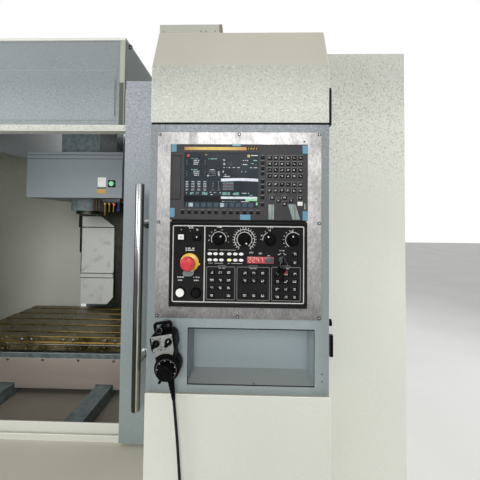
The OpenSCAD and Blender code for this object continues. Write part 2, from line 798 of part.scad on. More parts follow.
module servo_motors() {
    color(black) {
        servo_motor(spindle_x, screw_y, column_top + 50);
        translate([spindle_x, base_front, tray_z - 75]) rotate([90, 0, 0]) {
            cylinder(d = 58, h = 20);
            translate([-58, -58, 20]) cube([116, 116, 90]);
        }
    }
}

module z_ball_screw() {
    color(steel) translate([spindle_x, screw_y, way_cover_z + 130])
        cylinder(d = screw_d, h = column_top + 49.7 - way_cover_z - 130);
}

module saddle() {
    half = table_w / 2 - 100;
    color(casting) {
        box(spindle_x - half, spindle_x + half, spindle_y - 230, spindle_y + 230, saddle_z, saddle_z + 80);
        for (y = [spindle_y - 170, spindle_y + 110])
            box(spindle_x - half, spindle_x + half, y, y + 60, saddle_z + 80, table_underside - running_gap);
        // Guides that straddle the base ways
        for (s = [-1, 1])
            box(spindle_x + s * 305 - 14, spindle_x + s * 305 + 14, spindle_y - 220, spindle_y + 220,
                saddle_z - 30, saddle_z);
    }
    // Apron in front of the cross ways, with its arms
    color("#6f6a63") {
        difference() {
            box(spindle_x - table_w / 2 + 30, spindle_x + table_w / 2 - 30, spindle_y - 276, spindle_y - 273,
                tray_z + 38, table_underside - 4);
            for (s = [-1, 1])
                box(spindle_x + s * 250 - 44, spindle_x + s * 250 + 44, spindle_y - 280, spindle_y - 270,
                    tray_z + 37, tray_z + 64);
        }
        for (s = [-1, 1])
            box(spindle_x + s * 340 - 20, spindle_x + s * 340 + 20, spindle_y - 273, spindle_y - 230,
                saddle_z + 10, saddle_z + 70);
    }
}

module table() {
    y0 = spindle_y - table_d / 2;
    color(steel) difference() {
        union() {
            box(spindle_x - table_w / 2, spindle_x + table_w / 2, y0, y0 + table_d, table_underside, table_z);
            for (y = [spindle_y - 190, spindle_y + 190])
                box(spindle_x - table_w / 2 + 60, spindle_x + table_w / 2 - 60, y - 15, y + 15,
                    table_underside - 24, table_underside);
        }
        for (k = [-2:2]) {
            box(spindle_x - table_w, spindle_x + table_w, spindle_y + k * 100 - slot_w / 2,
                spindle_y + k * 100 + slot_w / 2, table_z - 30, table_z + 1);
            box(spindle_x - table_w, spindle_x + table_w, spindle_y + k * 100 - slot_w / 2 - 7,
                spindle_y + k * 100 + slot_w / 2 + 7, table_z - 30, table_z - 18);
        }
        // Coolant gutter along the front edge
        box(spindle_x - table_w, spindle_x + table_w, y0 - 1, y0 + 4, table_z - 30, table_z - 20);
    }
}

module head_casting() {
    color(casting) {
        difference() {
            union() {
                box(spindle_x - 150, spindle_x + 150, spindle_y - 130, way_front, head_z + 32,
                    head_z + head_h - 21);
                translate([spindle_x, spindle_y, head_z - 68]) cylinder(d = spindle_d + 70, h = 100);
                box(spindle_x - 110, spindle_x + 110, spindle_y - 110, spindle_y + 110,
                    head_z + head_h - 21, head_z + 500);
                // Slides on the column's ways, and the ball nut's boss between them
                for (s = [-1, 1])
                    box(spindle_x + s * 115 - 12, spindle_x + s * 115 + 12, way_front, rear_y - 4,
                        head_z + 60, head_z + 220);
                box(spindle_x - 60, spindle_x + 60, way_front - 1, rear_y - 4, head_z + 60, head_z + 200);
            }
            translate([spindle_x, spindle_y, head_z - 69])
                cylinder(d = spindle_d + 2 * running_gap, h = 240);
            translate([spindle_x, screw_y, head_z - 1]) cylinder(d = screw_d + 2 * running_gap, h = 500);
        }
    }
}

module head_cover() {
    t = sheet_t;
    x0 = spindle_x - head_w / 2;
    x1 = spindle_x + head_w / 2;
    color(cover_grey) difference() {
        box(x0, x1, head_front, head_back, head_z, head_z + head_h);
        box(x0 + t, x1 - t, head_front + t, head_back + 1, head_z + t, head_z + head_h - t);
        translate([spindle_x, spindle_y, head_z - 1]) cylinder(d = spindle_d + 72, h = t + 2);
        box(spindle_x - 111, spindle_x + 111, spindle_y - 111, spindle_y + 111,
            head_z + head_h - t - 1, head_z + head_h + 1);
        rod_y(button_x, head_front - 1, button_z, 20.6, t + 2);
    }
    // Fixing blocks between the cover and the casting
    color(cover_grey) for (s = [-1, 1], y = [spindle_y - 60, head_back - 80])
        box(spindle_x + (s > 0 ? 150 : -head_w / 2 + t), spindle_x + (s > 0 ? head_w / 2 - t : -150),
            y, y + 30, head_z + 90, head_z + 120);
}

button_x = spindle_x + 210;
button_z = head_z + 78;

module head_button() {
    color("#3f8f5a") {
        rod_y(button_x, head_front - 9, button_z, 20, 24);
        rod_y(button_x, head_front - 9, button_z, 26, 4);
    }
}

module spindle() {
    z0 = head_z - 88;
    color(steel) difference() {
        union() {
            translate([spindle_x, spindle_y, z0]) cylinder(d = spindle_d + 20, h = 19.7);
            translate([spindle_x, spindle_y, z0]) cylinder(d = spindle_d, h = 250);
        }
        translate([spindle_x, spindle_y, z0 - 0.01]) cylinder(d1 = 70, d2 = 41, h = 100);
    }
    // Drive keys on the nose
    color(steel) for (s = [-1, 1])
        box(spindle_x + s * 47 - 9, spindle_x + s * 47 + 9, spindle_y - 8, spindle_y + 8, z0 - 8, z0);
}

module coolant_nozzles() {
    x0 = spindle_x + 150;
    color("#b08d48") {
        box(x0, x0 + 100, head_front + 14, head_front + 54, head_z - 28, head_z);
        for (k = [0:3]) translate([x0 + 14 + k * 24, head_front + 34, head_z - 28]) {
            translate([0, 0, -10]) cylinder(d = 16, h = 10, $fn = 6);
            translate([0, 0, -44]) cylinder(d1 = 6, d2 = 11, h = 34);
        }
    }
}

module z_way_cover() {
    x0 = spindle_x - way_cover_w / 2;
    steps = 4;
    top = head_z - 1;
    step_h = (top - way_cover_z) / steps;
    back = way_front;
    color("#3a3c3e") for (k = [0:steps - 1])
        box(x0 + k * 6, x0 + way_cover_w - k * 6, cover_front + k * 6, back, way_cover_z + (steps - 1 - k) * step_h,
            way_cover_z + (steps - k) * step_h);
}

module z_guard() {
    x0 = spindle_x + 57 - guard_w;
    x1 = spindle_x + 57;
    z0 = way_cover_z;
    color("#c8cdcd") {
        translate([0, cover_front, 0]) rotate([90, 0, 0]) linear_extrude(4)
            polygon([[x0, z0], [x1 - 40, z0], [x1, z0 + 45], [x1, z0 + 520], [x1 - 90, z0 + 590], [x0, z0 + 590]]);
        box(x0, x1, cover_front - 12, cover_front - 4, z0 + 180, z0 + 215);
    }
}

module tool_carousel() {
    color(steel) translate([0, carousel_y, carousel_z]) {
        rod_x(carousel_x, 0, 0, 2 * carousel_r - 30, 24);
        rod_x(carousel_x + 24, 0, 0, 60, spindle_x - column_w / 2 - 5 - carousel_x - 24);
        // Pots, each with its mouth closed by a plug
        for (k = [0:pots - 1]) rotate([k * 360 / pots, 0, 0]) {
            rod_x(carousel_x - 70, 0, carousel_r, 56, 105);
            rod_x(carousel_x - 75, 0, carousel_r, 38, 5);
        }
    }
}

// The pendant hangs from its loop on the hook, and leans to the left at its top
pendant_cx = cabinet_x + 70;
pendant_cz = cabinet_z + 130;
pendant_front = face_y - hang_gap - pendant_t;
pendant_mid = face_y - hang_gap - pendant_t / 2;
dial_lz = -36;
pendant_low = dial_lz - pendant_w / 2;
loop_inner = pendant_low + pendant_h + 19;
hook_x = pendant_cx - (loop_inner - 5.5) * sin(pendant_lean);
hook_z = pendant_cz + (loop_inner - 5.5) * cos(pendant_lean);
boot_l = 59;
lead_lz = pendant_low - boot_l;
lead_x = pendant_cx - lead_lz * sin(pendant_lean);
lead_z = pendant_cz + lead_lz * cos(pendant_lean);
pendant_knob_x = 17;
pendant_knob_z = 37;

module on_pendant() {
    translate([pendant_cx, 0, pendant_cz]) rotate([0, -pendant_lean, 0]) children();
}

module pendant_body() {
    half = pendant_w / 2;
    top = pendant_low + pendant_h;
    y0 = pendant_front;
    y1 = pendant_front + pendant_t;
    on_pendant() {
        color(black) {
            // Round housing of the dial, with a waist and shoulders over it
            rod_y(0, y0, dial_lz, pendant_w, pendant_t);
            translate([0, y1, 0]) rotate([90, 0, 0]) linear_extrude(pendant_t)
                polygon([[-half + 9, dial_lz + 20], [-half + 9, 4], [-half + 1, 20], [-half + 1, top - 10],
                    [-half + 9, top], [half - 9, top], [half - 1, top - 10], [half - 1, 20], [half - 9, 4],
                    [half - 9, dial_lz + 20]]);
            // Loop for the hook
            difference() {
                plate_xz(-26, 26, pendant_mid - 5, pendant_mid + 5, top - 4, loop_inner + 7, 9);
                plate_xz(-19, 19, pendant_mid - 6, pendant_mid + 6, top + 1, loop_inner, 5);
            }
            // Strain relief boot
            translate([0, pendant_mid, pendant_low + 3]) rotate([180, 0, 0]) {
                cylinder(d1 = 19, d2 = 11, h = boot_l + 3);
                for (k = [0:3]) translate([0, 0, 10 + k * 11]) cylinder(d = 19.5 - k * 1.6, h = 5);
            }
            // Enabling button at the lower left
            translate([0, pendant_mid, dial_lz]) rotate([0, 221, 0]) cylinder(d = 9, h = half + 7);
        }
        // Face plate, dial ring
        color("#b9bcb8") {
            difference() {
                translate([0, y0, 0]) rotate([90, 0, 0]) linear_extrude(1)
                    polygon([[-31, top - 2], [31, top - 2], [31, 14], [23.5, 1.5], [-23.5, 1.5], [-31, 14]]);
                rod_y(0, y0 - 2, dial_lz, 86, 3);
            }
            ring_y(0, y0 - 2, dial_lz, 58, wheel_d + 2, 2);
        }
    }
}

module pendant_wheel() {
    on_pendant() color(black) {
        rod_y(0, pendant_front - 24, dial_lz, wheel_d - 3, 21, wheel_d);
        rod_y(0, pendant_front - 3, dial_lz, 20, 3 - running_gap);
        rod_y(0, pendant_front - 27, dial_lz, wheel_d - 16, 3);
    }
}

module pendant_knob(side) {
    on_pendant() color(black) {
        rod_y(side * pendant_knob_x, pendant_front - 14, pendant_knob_z, 16, 13 - running_gap, 20);
        rod_y(side * pendant_knob_x, pendant_front - 4, pendant_knob_z, 22, 3 - running_gap);
        box(side * pendant_knob_x - 2, side * pendant_knob_x + 2, pendant_front - 16, pendant_front - 6,
            pendant_knob_z - 6, pendant_knob_z + 9);
    }
}

gland_x = cabinet_x + 222;
gland_z = door_bottom - 110;
cover_face = face_y - 20;

module cord_gland() {
    color(black) {
        box(gland_x - 14, gland_x + 14, cover_face - 28, cover_face, gland_z, gland_z + 34);
        translate([gland_x, cover_face - 14, gland_z - 22]) cylinder(d = 20, h = 22);
        translate([gland_x, cover_face - 14, gland_z - 14]) cylinder(d = 26, h = 8, $fn = 6);
    }
}

// The cord's route from the boot to the gland, as points from the cabinet's lower left front corner.
// It hangs in one round bight, whose radius is at least four times the cord's diameter
bight_r = 41;
CORD = concat([[98, -37, -60], [105, -38, -130], [113, -39, -230], [121, -40, -340], [128, -40, -440],
    [133, -40, -530], [137, -40, -600], [139, -40, -650], [140, -40, -682]],
    [for (a = [0:22.5:180]) [140 + bight_r * (1 - cos(a)), -40, -706 - bight_r * sin(a)]],
    [[222, -39.5, -682], [222, -39, -650], [222, -38, -600], [222, -36, -530], [222, -34, -460]]);
cord_points = concat([[lead_x, pendant_mid, lead_z]],
    [for (p = CORD) [cabinet_x + p[0], face_y + p[1], cabinet_z + p[2]]],
    [[gland_x, cover_face - 14, gland_z - 22]]);

// A smooth curve through the points, one span at a time
function spline(p, i, t) =
    let (a = p[max(i - 1, 0)], b = p[i], c = p[i + 1], d = p[min(i + 2, len(p) - 1)])
    0.5 * (2 * b + (c - a) * t + (2 * a - 5 * b + 4 * c - d) * t * t + (3 * b - a - 3 * c + d) * t * t * t);
function unit(v) = v / norm(v);

module pendant_cord() {
    per_span = 3;
    sides = 8;
    spans = len(cord_points) - 1;
    path = concat([for (i = [0:spans - 1], k = [0:per_span - 1]) spline(cord_points, i, k / per_span)],
        [cord_points[spans]]);
    n = len(path);
    ahead = [for (i = [0:n - 1]) unit(path[min(i + 1, n - 1)] - path[max(i - 1, 0)])];
    rings = [for (i = [0:n - 1]) let (side = unit(cross(ahead[i], [0, 1, 0])), up = cross(side, ahead[i]))
        for (k = [0:sides - 1]) path[i] + cord_d / 2 * (cos(k * 360 / sides) * side + sin(k * 360 / sides) * up)];
    color(black) polyhedron(rings, concat([[for (k = [0:sides - 1]) k]],
        [for (i = [0:n - 2], k = [0:sides - 1]) let (m = (k + 1) % sides)
            [i * sides + k, (i + 1) * sides + k, (i + 1) * sides + m, i * sides + m]],
        [[for (k = [sides - 1:-1:0]) (n - 1) * sides + k]]));
}

base_casting();
column_casting();
leveling_feet();
left_side_cover();
right_side_cover();
rear_cover();
front_wall();
upper_front_cover();
header_beam();
lower_front_cover();
chip_tray();
electrical_cabinet();
electrical_door();
main_switch();
control_cabinet();
cabinet_hood();
hood_seal();
cable_duct();
mounting_plate();
plate_screws();
display_unit();
display_screen();
card_slot_door();
corner_tapes();
operator_panel();
stop_button();
knob(knob_u[0], knob_v);  // mode_knob
knob(knob_u[1], knob_v);  // feed_knob
knob(knob_u[2], knob_v);  // rapid_knob
knob(knob_u[3], knob_v);  // speed_knob
key_switch();
square_button(0);  // power_on_button
square_button(1);  // power_off_button
round_button(0);  // start_button
round_button(1);  // hold_button
side_door();
door(door_right_x, 1);  // right_door
door_handle(door_right_x, 1);  // right_door_handle
door_window(door_right_x, 1);  // right_door_window
door(door_left_x, -1);  // left_door
door_handle(door_left_x, -1);  // left_door_handle
door_window(door_left_x, -1);  // left_door_window
servo_motors();
z_ball_screw();
saddle();
table();
head_casting();
head_cover();
spindle();
head_button();
coolant_nozzles();
z_way_cover();
z_guard();
tool_carousel();
pendant_body();
pendant_wheel();
pendant_knob(-1);  // pendant_axis_knob
pendant_knob(1);  // pendant_rate_knob
pendant_cord();
cord_gland();
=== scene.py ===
# %% [markdown]
# # A machining centre and its operator station
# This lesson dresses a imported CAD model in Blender: a vertical machining centre with sliding doors, seen
# from close in front of its operator station. Every object is in metres and in the frame of the CAD model,
# so a piece goes where the CAD says, with no fitting.

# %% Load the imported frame
import json
import random
from math import atan2, cos, hypot, pi, radians, sin

import bpy
from mathutils import Matrix, Vector


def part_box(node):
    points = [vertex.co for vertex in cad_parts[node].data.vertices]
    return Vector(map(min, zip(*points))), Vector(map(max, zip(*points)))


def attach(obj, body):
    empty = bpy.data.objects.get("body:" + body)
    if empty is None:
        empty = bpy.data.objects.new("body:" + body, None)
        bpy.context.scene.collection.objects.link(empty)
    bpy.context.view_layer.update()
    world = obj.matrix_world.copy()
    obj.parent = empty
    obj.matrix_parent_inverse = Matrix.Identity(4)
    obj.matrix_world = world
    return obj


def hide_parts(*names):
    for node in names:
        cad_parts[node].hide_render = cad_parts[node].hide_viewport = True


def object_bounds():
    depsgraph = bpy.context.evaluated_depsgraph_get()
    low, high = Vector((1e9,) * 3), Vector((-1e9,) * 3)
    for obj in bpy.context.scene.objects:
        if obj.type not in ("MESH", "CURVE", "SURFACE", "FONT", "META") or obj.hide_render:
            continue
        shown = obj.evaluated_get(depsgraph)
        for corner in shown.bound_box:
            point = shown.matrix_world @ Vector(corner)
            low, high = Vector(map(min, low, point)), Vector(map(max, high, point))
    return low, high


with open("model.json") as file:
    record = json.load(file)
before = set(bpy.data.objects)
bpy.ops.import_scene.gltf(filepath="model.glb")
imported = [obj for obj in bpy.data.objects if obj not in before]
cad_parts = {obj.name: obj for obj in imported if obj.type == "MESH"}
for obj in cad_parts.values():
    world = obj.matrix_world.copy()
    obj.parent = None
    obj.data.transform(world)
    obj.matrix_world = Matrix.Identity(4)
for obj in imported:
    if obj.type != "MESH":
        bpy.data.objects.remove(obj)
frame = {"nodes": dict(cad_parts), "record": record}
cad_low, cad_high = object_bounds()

print("CAD box", [round(v, 3) for v in cad_low], [round(v, 3) for v in cad_high])

# %% [markdown]
# ## Units
# Drawings of such a machine are in millimetres and Blender works in metres, so the first helpers turn one into
# the other. The last one turns the hex colours of a paint card into the linear numbers that shaders use.

# %% Helpers for lengths, places and colours
def mm(*lengths):
    """Millimetres as metres: one number for one length, a tuple for several"""
    made = tuple(length / 1000 for length in lengths)
    return made[0] if len(made) == 1 else made


def shift(x, y, z):
    """The matrix of a move, given in mm"""
    return Matrix.Translation(mm(x, y, z))


def box_mm(node):
    """The lowest and the highest corner of a CAD part in mm"""
    return [corner * 1000 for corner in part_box(node)]


def link(obj):
    """Puts a new object into the scene"""
    bpy.context.scene.collection.objects.link(obj)
    return obj


def linear(code):
    """An sRGB hex colour such as #8F9699 as linear red, green, blue and alpha"""
    parts = [int(code[i:i + 2], 16) / 255 for i in (1, 3, 5)]
    return tuple(c / 12.92 if c <= 0.04045 else ((c + 0.055) / 1.055) ** 2.4 for c in parts) + (1.0,)


print("grey card 50 mm wide:", mm(50), [round(c, 3) for c in linear("#808080")])

# %% [markdown]
# ## The camera
# The photographer stood about 85 cm in front of the station with a wide lens, at eye height. Place, turns and
# focal length come from a fit of the station's corners in the 480 by 480 picture. Vertical shift moves the
# frame without tilting the verticals. The view transform Standard shows a colour as it is written.

# %% Camera at the photograph's place
FOCAL_PX = 290.0
PICTURE_PX = 480
SENSOR_MM = 36
camera_data = bpy.data.cameras.new("camera")
camera_data.sensor_width = SENSOR_MM
camera_data.lens = FOCAL_PX / PICTURE_PX * SENSOR_MM
camera_data.shift_y = -27.5 / PICTURE_PX
camera_data.clip_start = 0.05
camera_data.clip_end = 60
camera_data.dof.use_dof = False
camera = link(bpy.data.objects.new("camera", camera_data))
yaw, pitch, roll = (radians(a) for a in (1.38, 1.72, -0.58))
camera.matrix_world = (
    shift(760, -1928.7, 1447.4)
    @ Matrix.Rotation(yaw, 4, "Z")
    @ Matrix.Rotation(pitch, 4, "X")
    @ Matrix.Rotation(roll, 4, "Y")
    @ Matrix.Rotation(pi / 2, 4, "X")
)
bpy.context.scene.camera = camera
bpy.context.scene.view_settings.view_transform = "Standard"
print("lens", round(camera_data.lens, 2), "mm, shift", round(camera_data.shift_y, 4))

# %% [markdown]
# ## Adding shader nodes
# Every finish is a small tree of shader nodes. One function adds a node: its sockets take numbers, hex
# colours or the output of another node, and its other settings are plain properties. A decorator turns a
# recipe, which adds nodes and returns the shader, into a function that makes a named material. The last
# function makes the pattern that worn surfaces need: spots of a known size in millimetres, with their
# contrast set by where they start and where they are full.

# %% One function for all nodes, and a pattern of spots
COLOUR = {"data_type": "RGBA"}
TIMES = {"data_type": "RGBA", "blend_type": "MULTIPLY"}


def add(tree, kind, sockets=None, out=None, **properties):
    """Adds one shader node, sets its properties, fills or links its inputs, and returns one of its outputs"""
    made = tree.nodes.new("ShaderNode" + kind)
    for name, value in properties.items():
        setattr(made, name, value)
    for name, value in (sockets or {}).items():
        socket = made.inputs[name]
        if isinstance(value, bpy.types.NodeSocket):
            tree.links.new(value, socket)
        else:
            socket.default_value = linear(value) if isinstance(value, str) else value
    return made.outputs[out] if out else next((one for one in made.outputs if one.enabled), None)


def as_material(recipe):
    """Turns a recipe, which adds nodes to a tree and returns its shader, into a maker of named materials"""
    def make(name, *values, **options):
        material = bpy.data.materials.new(name)
        material.use_nodes = True
        tree = material.node_tree
        tree.nodes.clear()
        add(tree, "OutputMaterial", {"Surface": recipe(tree, *values, **options)})
        return material
    return make


def on_object(tree):
    """X, Y and Z of the Object coordinates"""
    return add(tree, "SeparateXYZ", {"Vector": add(tree, "TexCoord", out="Object")}).node.outputs


def spots(tree, size_mm, start=0.0, full=1.0, low=0.0, high=1.0, stretch=(1, 1, 1), detail=2.0, rough=0.5):
    """Spots about size_mm wide on Object coordinates: start to full of the noise becomes low to high"""
    place = add(tree, "TexCoord", out="Object")
    if tuple(stretch) != (1, 1, 1):
        place = add(tree, "Mapping", {"Vector": place, "Scale": stretch})
    noise = add(tree, "TexNoise", {"Vector": place, "Scale": 1000 / size_mm, "Detail": detail, "Roughness": rough})
    return add(tree, "MapRange", {
        "Value": noise, "From Min": start, "From Max": full, "To Min": low, "To Max": high})


print("node helpers ready")

# %% [markdown]
# ## Textured powder coat
# Doors, station and hood are steel sheet with a textured powder coat, called orange peel. It was sprayed as
# powder and baked, which leaves soft bumps and a sprinkle of light and dark specks: dull, slightly
# sparkling, never a sharp reflection. Real specks are 1 to 2 mm wide, too fine to show here, so they are
# drawn about 7 mm wide. They sparkle most at eye height and above, and the coat near the floor is smoother.
# Painted light is worked into the tone: near the floor it turns to a second tone, a painted reflection and
# shade, and toward the top, and on the station toward its sides, it darkens as painted shade. Faces that
# look upward take a duller tone, partly dust and partly painted shade, so its share follows the upward
# part of the surface normal; on the pale edge coats that tone is lighter, a painted highlight.

# %% Powder coat finish
@as_material
def powder_coat(
        tree, colour, dark, light, upward_tone="#C3BFB0", low=None, speck_mm=7, strength=1.0, top_shade=1.0,
        side_shade=1.0):
    """Painted sheet: specks at eye height, a painted reflection toward low near the floor, painted shade at top and
    sides, an upward tone of dust and painted shade, peel
    """
    place = on_object(tree)
    height = place["Z"]
    rise = add(tree, "MapRange", {
        "Value": height, "From Min": 1.5, "From Max": 1.78, "To Min": 0.12, "To Max": strength})
    fall = add(tree, "MapRange", {
        "Value": height, "From Min": 1.93, "From Max": 2.07, "To Min": 1.0, "To Max": 0.3})
    band = add(tree, "Math", {0: rise, 1: fall}, operation="MULTIPLY")
    depth = add(tree, "MapRange", {"Value": height, "From Min": 0.95, "From Max": 1.8})
    # Painted shade: the tone darkens toward the top (top_shade) and toward the station's two sides (side_shade)
    shade = add(tree, "MapRange", {
        "Value": height, "From Min": 1.79, "From Max": 1.95, "To Min": 1.0, "To Max": top_shade})
    aside = add(tree, "Math", {0: place["X"], 1: 0.735}, operation="SUBTRACT")
    aside = add(tree, "Math", {0: aside}, operation="ABSOLUTE")
    side = add(tree, "MapRange", {
        "Value": aside, "From Min": 0.2, "From Max": 0.25, "To Min": 1.0, "To Max": side_shade})
    shade = add(tree, "Math", {0: shade, 1: side}, operation="MULTIPLY")
    # Painted reflection and shade: the tone turns toward low near the floor
    paint = add(tree, "Mix", {0: depth, 6: low or colour, 7: colour}, **COLOUR)
    for tone, start, full, size in ((dark, 0.48, 0.36, speck_mm), (light, 0.52, 0.64, speck_mm * 0.9)):
        share = add(tree, "Math", {
            0: spots(tree, size, start, full, detail=4, rough=0.75), 1: band}, operation="MULTIPLY")
        paint = add(tree, "Mix", {0: share, 6: paint, 7: tone}, **COLOUR)
    paint = add(tree, "Mix", {0: 1.0, 6: paint, 7: shade}, **TIMES)
    cloud = spots(tree, 420, 0.3, 0.7, 0.95, 1.04, detail=1)
    # Upward faces: partly dust, partly painted shade; on the pale edge coats this tone is lighter, a painted
    # highlight
    upward = add(tree, "SeparateXYZ", {"Vector": add(tree, "NewGeometry", out="Normal")}, "Z")
    upward_share = add(tree, "MapRange", {"Value": upward, "From Min": 0.15, "From Max": 0.45, "To Max": 0.9})
    paint = add(tree, "Mix", {0: upward_share, 6: paint, 7: upward_tone}, **COLOUR)
    paint = add(tree, "Mix", {0: 1.0, 6: paint, 7: cloud}, **TIMES)
    peel = add(tree, "Bump", {"Strength": 0.3, "Distance": 0.0008, "Height": spots(tree, 4.0)})
    return add(tree, "BsdfPrincipled", {
        "Base Color": paint, "Roughness": spots(tree, speck_mm, 0.3, 0.7, 0.44, 0.6), "Normal": peel, "IOR": 1.5,
        "Specular IOR Level": 0.3})


grey_coat = powder_coat(
    "powder_coat_grey", "#A1A7AD", "#757B83", "#C6CBD6", upward_tone="#8F938E", low="#8A9594", strength=0.85)
# The station's copy darkens toward its two sides: painted shade
station_coat = powder_coat(
    "powder_coat_grey_station", "#979DA2", "#6F757B", "#BFC4CC", upward_tone="#8F938E", low="#97A3A3", strength=0.8,
    side_shade=0.8)
# The raised cover, the cream and the walls darken toward their top: painted shade
raised_coat = powder_coat(
    "powder_coat_grey_raised", "#A3ACAE", "#8B9395", "#BAC1C4", upward_tone="#8F938E", strength=0.9, top_shade=0.74)
cream_coat = powder_coat(
    "powder_coat_cream", "#D0D2C7", "#AAACA1", "#ECEDE5", low="#D6D8CD", strength=0.85, top_shade=0.66, speck_mm=6)
# A lighter copy of the cream for the side walls and their panels: painted light
wall_coat = powder_coat("powder_coat_cream_wall", "#E1E3D8", "#B6B8AD", "#F8F9F2", strength=1.3, top_shade=0.8)
duct_coat = powder_coat("powder_coat_taupe", "#B3B5A9", "#A3A498", "#BEC0B5", strength=0.3, upward_tone="#8D857A")
head_coat = powder_coat("powder_coat_grey_head", "#858E93", "#7A8388", "#929BA0", upward_tone="#8F938E", strength=0.4)
# A lighter copy of the grey for the station's recess: painted light inside it
shelf_coat = powder_coat(
    "powder_coat_grey_shelf", "#A9B3B8", "#98A2A7", "#BAC4C8", upward_tone="#A2A8A4", low="#A2AEB2", strength=0.2)
print("powder coats:", grey_coat.name, cream_coat.name, duct_coat.name)

# %% [markdown]
# ## Cast iron, painted and machined
# Base, column and head are grey iron castings. Their rough skin was filled and painted: a soft, lumpy gloss.
# The table's top was milled and ground: bare iron with fine lines along X, brown and olive with coolant and
# dotted with bright chips.

# %% Painted casting and machined table
@as_material
def painted_casting(tree, colour, dark):
    """Filled and painted iron: lumps of 25 mm and a fine skin under a half-gloss paint"""
    lumps = spots(tree, 25, 0.25, 0.75, detail=4)
    shade = add(tree, "Mix", {0: lumps, 6: dark, 7: colour}, **COLOUR)
    height = add(tree, "Math", {0: lumps, 1: spots(tree, 2.5)}, operation="ADD")
    skin = add(tree, "Bump", {"Strength": 0.35, "Distance": 0.0012, "Height": height})
    return add(tree, "BsdfPrincipled", {
        "Base Color": shade, "Normal": skin, "Roughness": spots(tree, 25, 0.3, 0.7, 0.4, 0.55), "IOR": 1.5})


@as_material
def ground_iron(tree):
    """Milled and ground iron with lines along X, a coolant film and specks of chips"""
    lines = spots(tree, 3.0, 0.3, 0.7, stretch=(0.02, 1, 1), detail=3)
    film = spots(tree, 60, 0.35, 0.65, detail=4, rough=0.6)
    chips = spots(tree, 9, 0.70, 0.74, detail=1)
    metal = add(tree, "Mix", {0: lines, 6: "#5C553C", 7: "#8F8460"}, **COLOUR)
    wet = add(tree, "Mix", {0: film, 6: "#3B3418", 7: metal}, **COLOUR)
    shade = add(tree, "Mix", {0: chips, 6: wet, 7: "#E0D8A0"}, **COLOUR)
    score = add(tree, "Bump", {"Strength": 0.3, "Distance": 0.0004, "Height": lines})
    return add(tree, "BsdfPrincipled", {
        "Base Color": shade, "Metallic": 0.55, "Roughness": spots(tree, 60, 0.3, 0.7, 0.25, 0.5), "Normal": score})


casting_paint = painted_casting("painted_casting", "#7B888A", "#4E5A5C")
table_iron = ground_iron("ground_iron_with_coolant")
print("iron finishes:", casting_paint.name, table_iron.name)

# %% [markdown]
# ## Brushed, polished and plated steel
# The plate behind the displays is stainless sheet, brushed along its height and soiled by hands: pale with
# grey smears. Its head is painted brighter, with a painted reflection of one dark streak and of faint bands,
# and its foot is painted darker, a painted shade. Handle tubes are polished stainless. Screws and pads are
# zinc plated, a duller blue-grey metal. The lines of a real brush are 0.1 mm apart, too fine to show here,
# so they are drawn about 1 mm apart, and on the plate as soft streaks about 7 mm wide.

# %% Steel finishes
@as_material
def steel(tree, pale, dull, roughness, along=(1, 1, 1), smear_mm=40, smear=0.12, bump=0.15):
    """Bare steel: brush lines along one axis, smears of handling, and a spread of gloss"""
    lines = spots(tree, 1, 0.25, 0.75, stretch=along, detail=3)
    smears = spots(tree, smear_mm, 0.36, 0.62, 1 - smear, 1.0, detail=5, rough=0.62)
    shade = add(tree, "Mix", {0: lines, 6: dull, 7: pale}, **COLOUR)
    shade = add(tree, "Mix", {0: 1.0, 6: shade, 7: smears}, **TIMES)
    brush = add(tree, "Bump", {"Strength": bump, "Distance": 0.0002, "Height": lines})
    return add(tree, "BsdfPrincipled", {
        "Base Color": shade, "Metallic": 1.0, "Normal": brush,
        "Roughness": spots(tree, smear_mm, 0.3, 0.7, roughness + 0.08, roughness)})


@as_material
def plate_steel(tree, foot_z, head_z, reflection_x):
    """Brushed stainless of the control plate, smeared by hands: painted brightness and reflections at its head,
    painted shade at its foot
    """
    lines = spots(tree, 7, 0.3, 0.7, stretch=(1, 1, 0.5), detail=5, rough=0.8)
    smears = spots(tree, 60, 0.36, 0.64, 0.7, 1.0, stretch=(1, 1, 0.6), detail=6, rough=0.7)
    place = on_object(tree)
    rise = add(tree, "MapRange", {"Value": place["Z"], "From Min": foot_z, "From Max": head_z})
    # Painted shade at the foot; at the head painted brightness with a reflected dark streak and reflected bands
    foot = add(tree, "MapRange", {"Value": rise, "From Min": 0.0, "From Max": 0.2, "To Min": 0.5, "To Max": 0.9})
    aside = add(tree, "Math", {0: place["X"], 1: reflection_x}, operation="SUBTRACT")
    aside = add(tree, "Math", {0: aside}, operation="ABSOLUTE")
    reflected_streak = add(tree, "MapRange", {
        "Value": aside, "From Min": 0.011, "From Max": 0.017, "To Min": 0.62, "To Max": 0.97})
    reflected_bands = spots(tree, 44, 0.38, 0.46, 0.86, 1.0, stretch=(1, 1, 0.04), detail=3)
    reflected_bands = add(tree, "Math", {0: reflected_streak, 1: reflected_bands}, operation="MULTIPLY")
    head = add(tree, "MapRange", {
        "Value": rise, "From Min": 0.84, "From Max": 0.93, "To Min": 1.06, "To Max": reflected_bands})
    shade = add(tree, "Mix", {0: lines, 6: "#9B9A99", 7: "#D2CFCE"}, **COLOUR)
    for tone in (smears, foot, head):
        shade = add(tree, "Mix", {0: 1.0, 6: shade, 7: tone}, **TIMES)
    brush = add(tree, "Bump", {"Strength": 0.2, "Distance": 0.0002, "Height": lines})
    return add(tree, "BsdfPrincipled", {
        "Base Color": shade, "Metallic": 0.7, "Normal": brush, "Roughness": spots(tree, 34, 0.3, 0.7, 0.46, 0.34)})


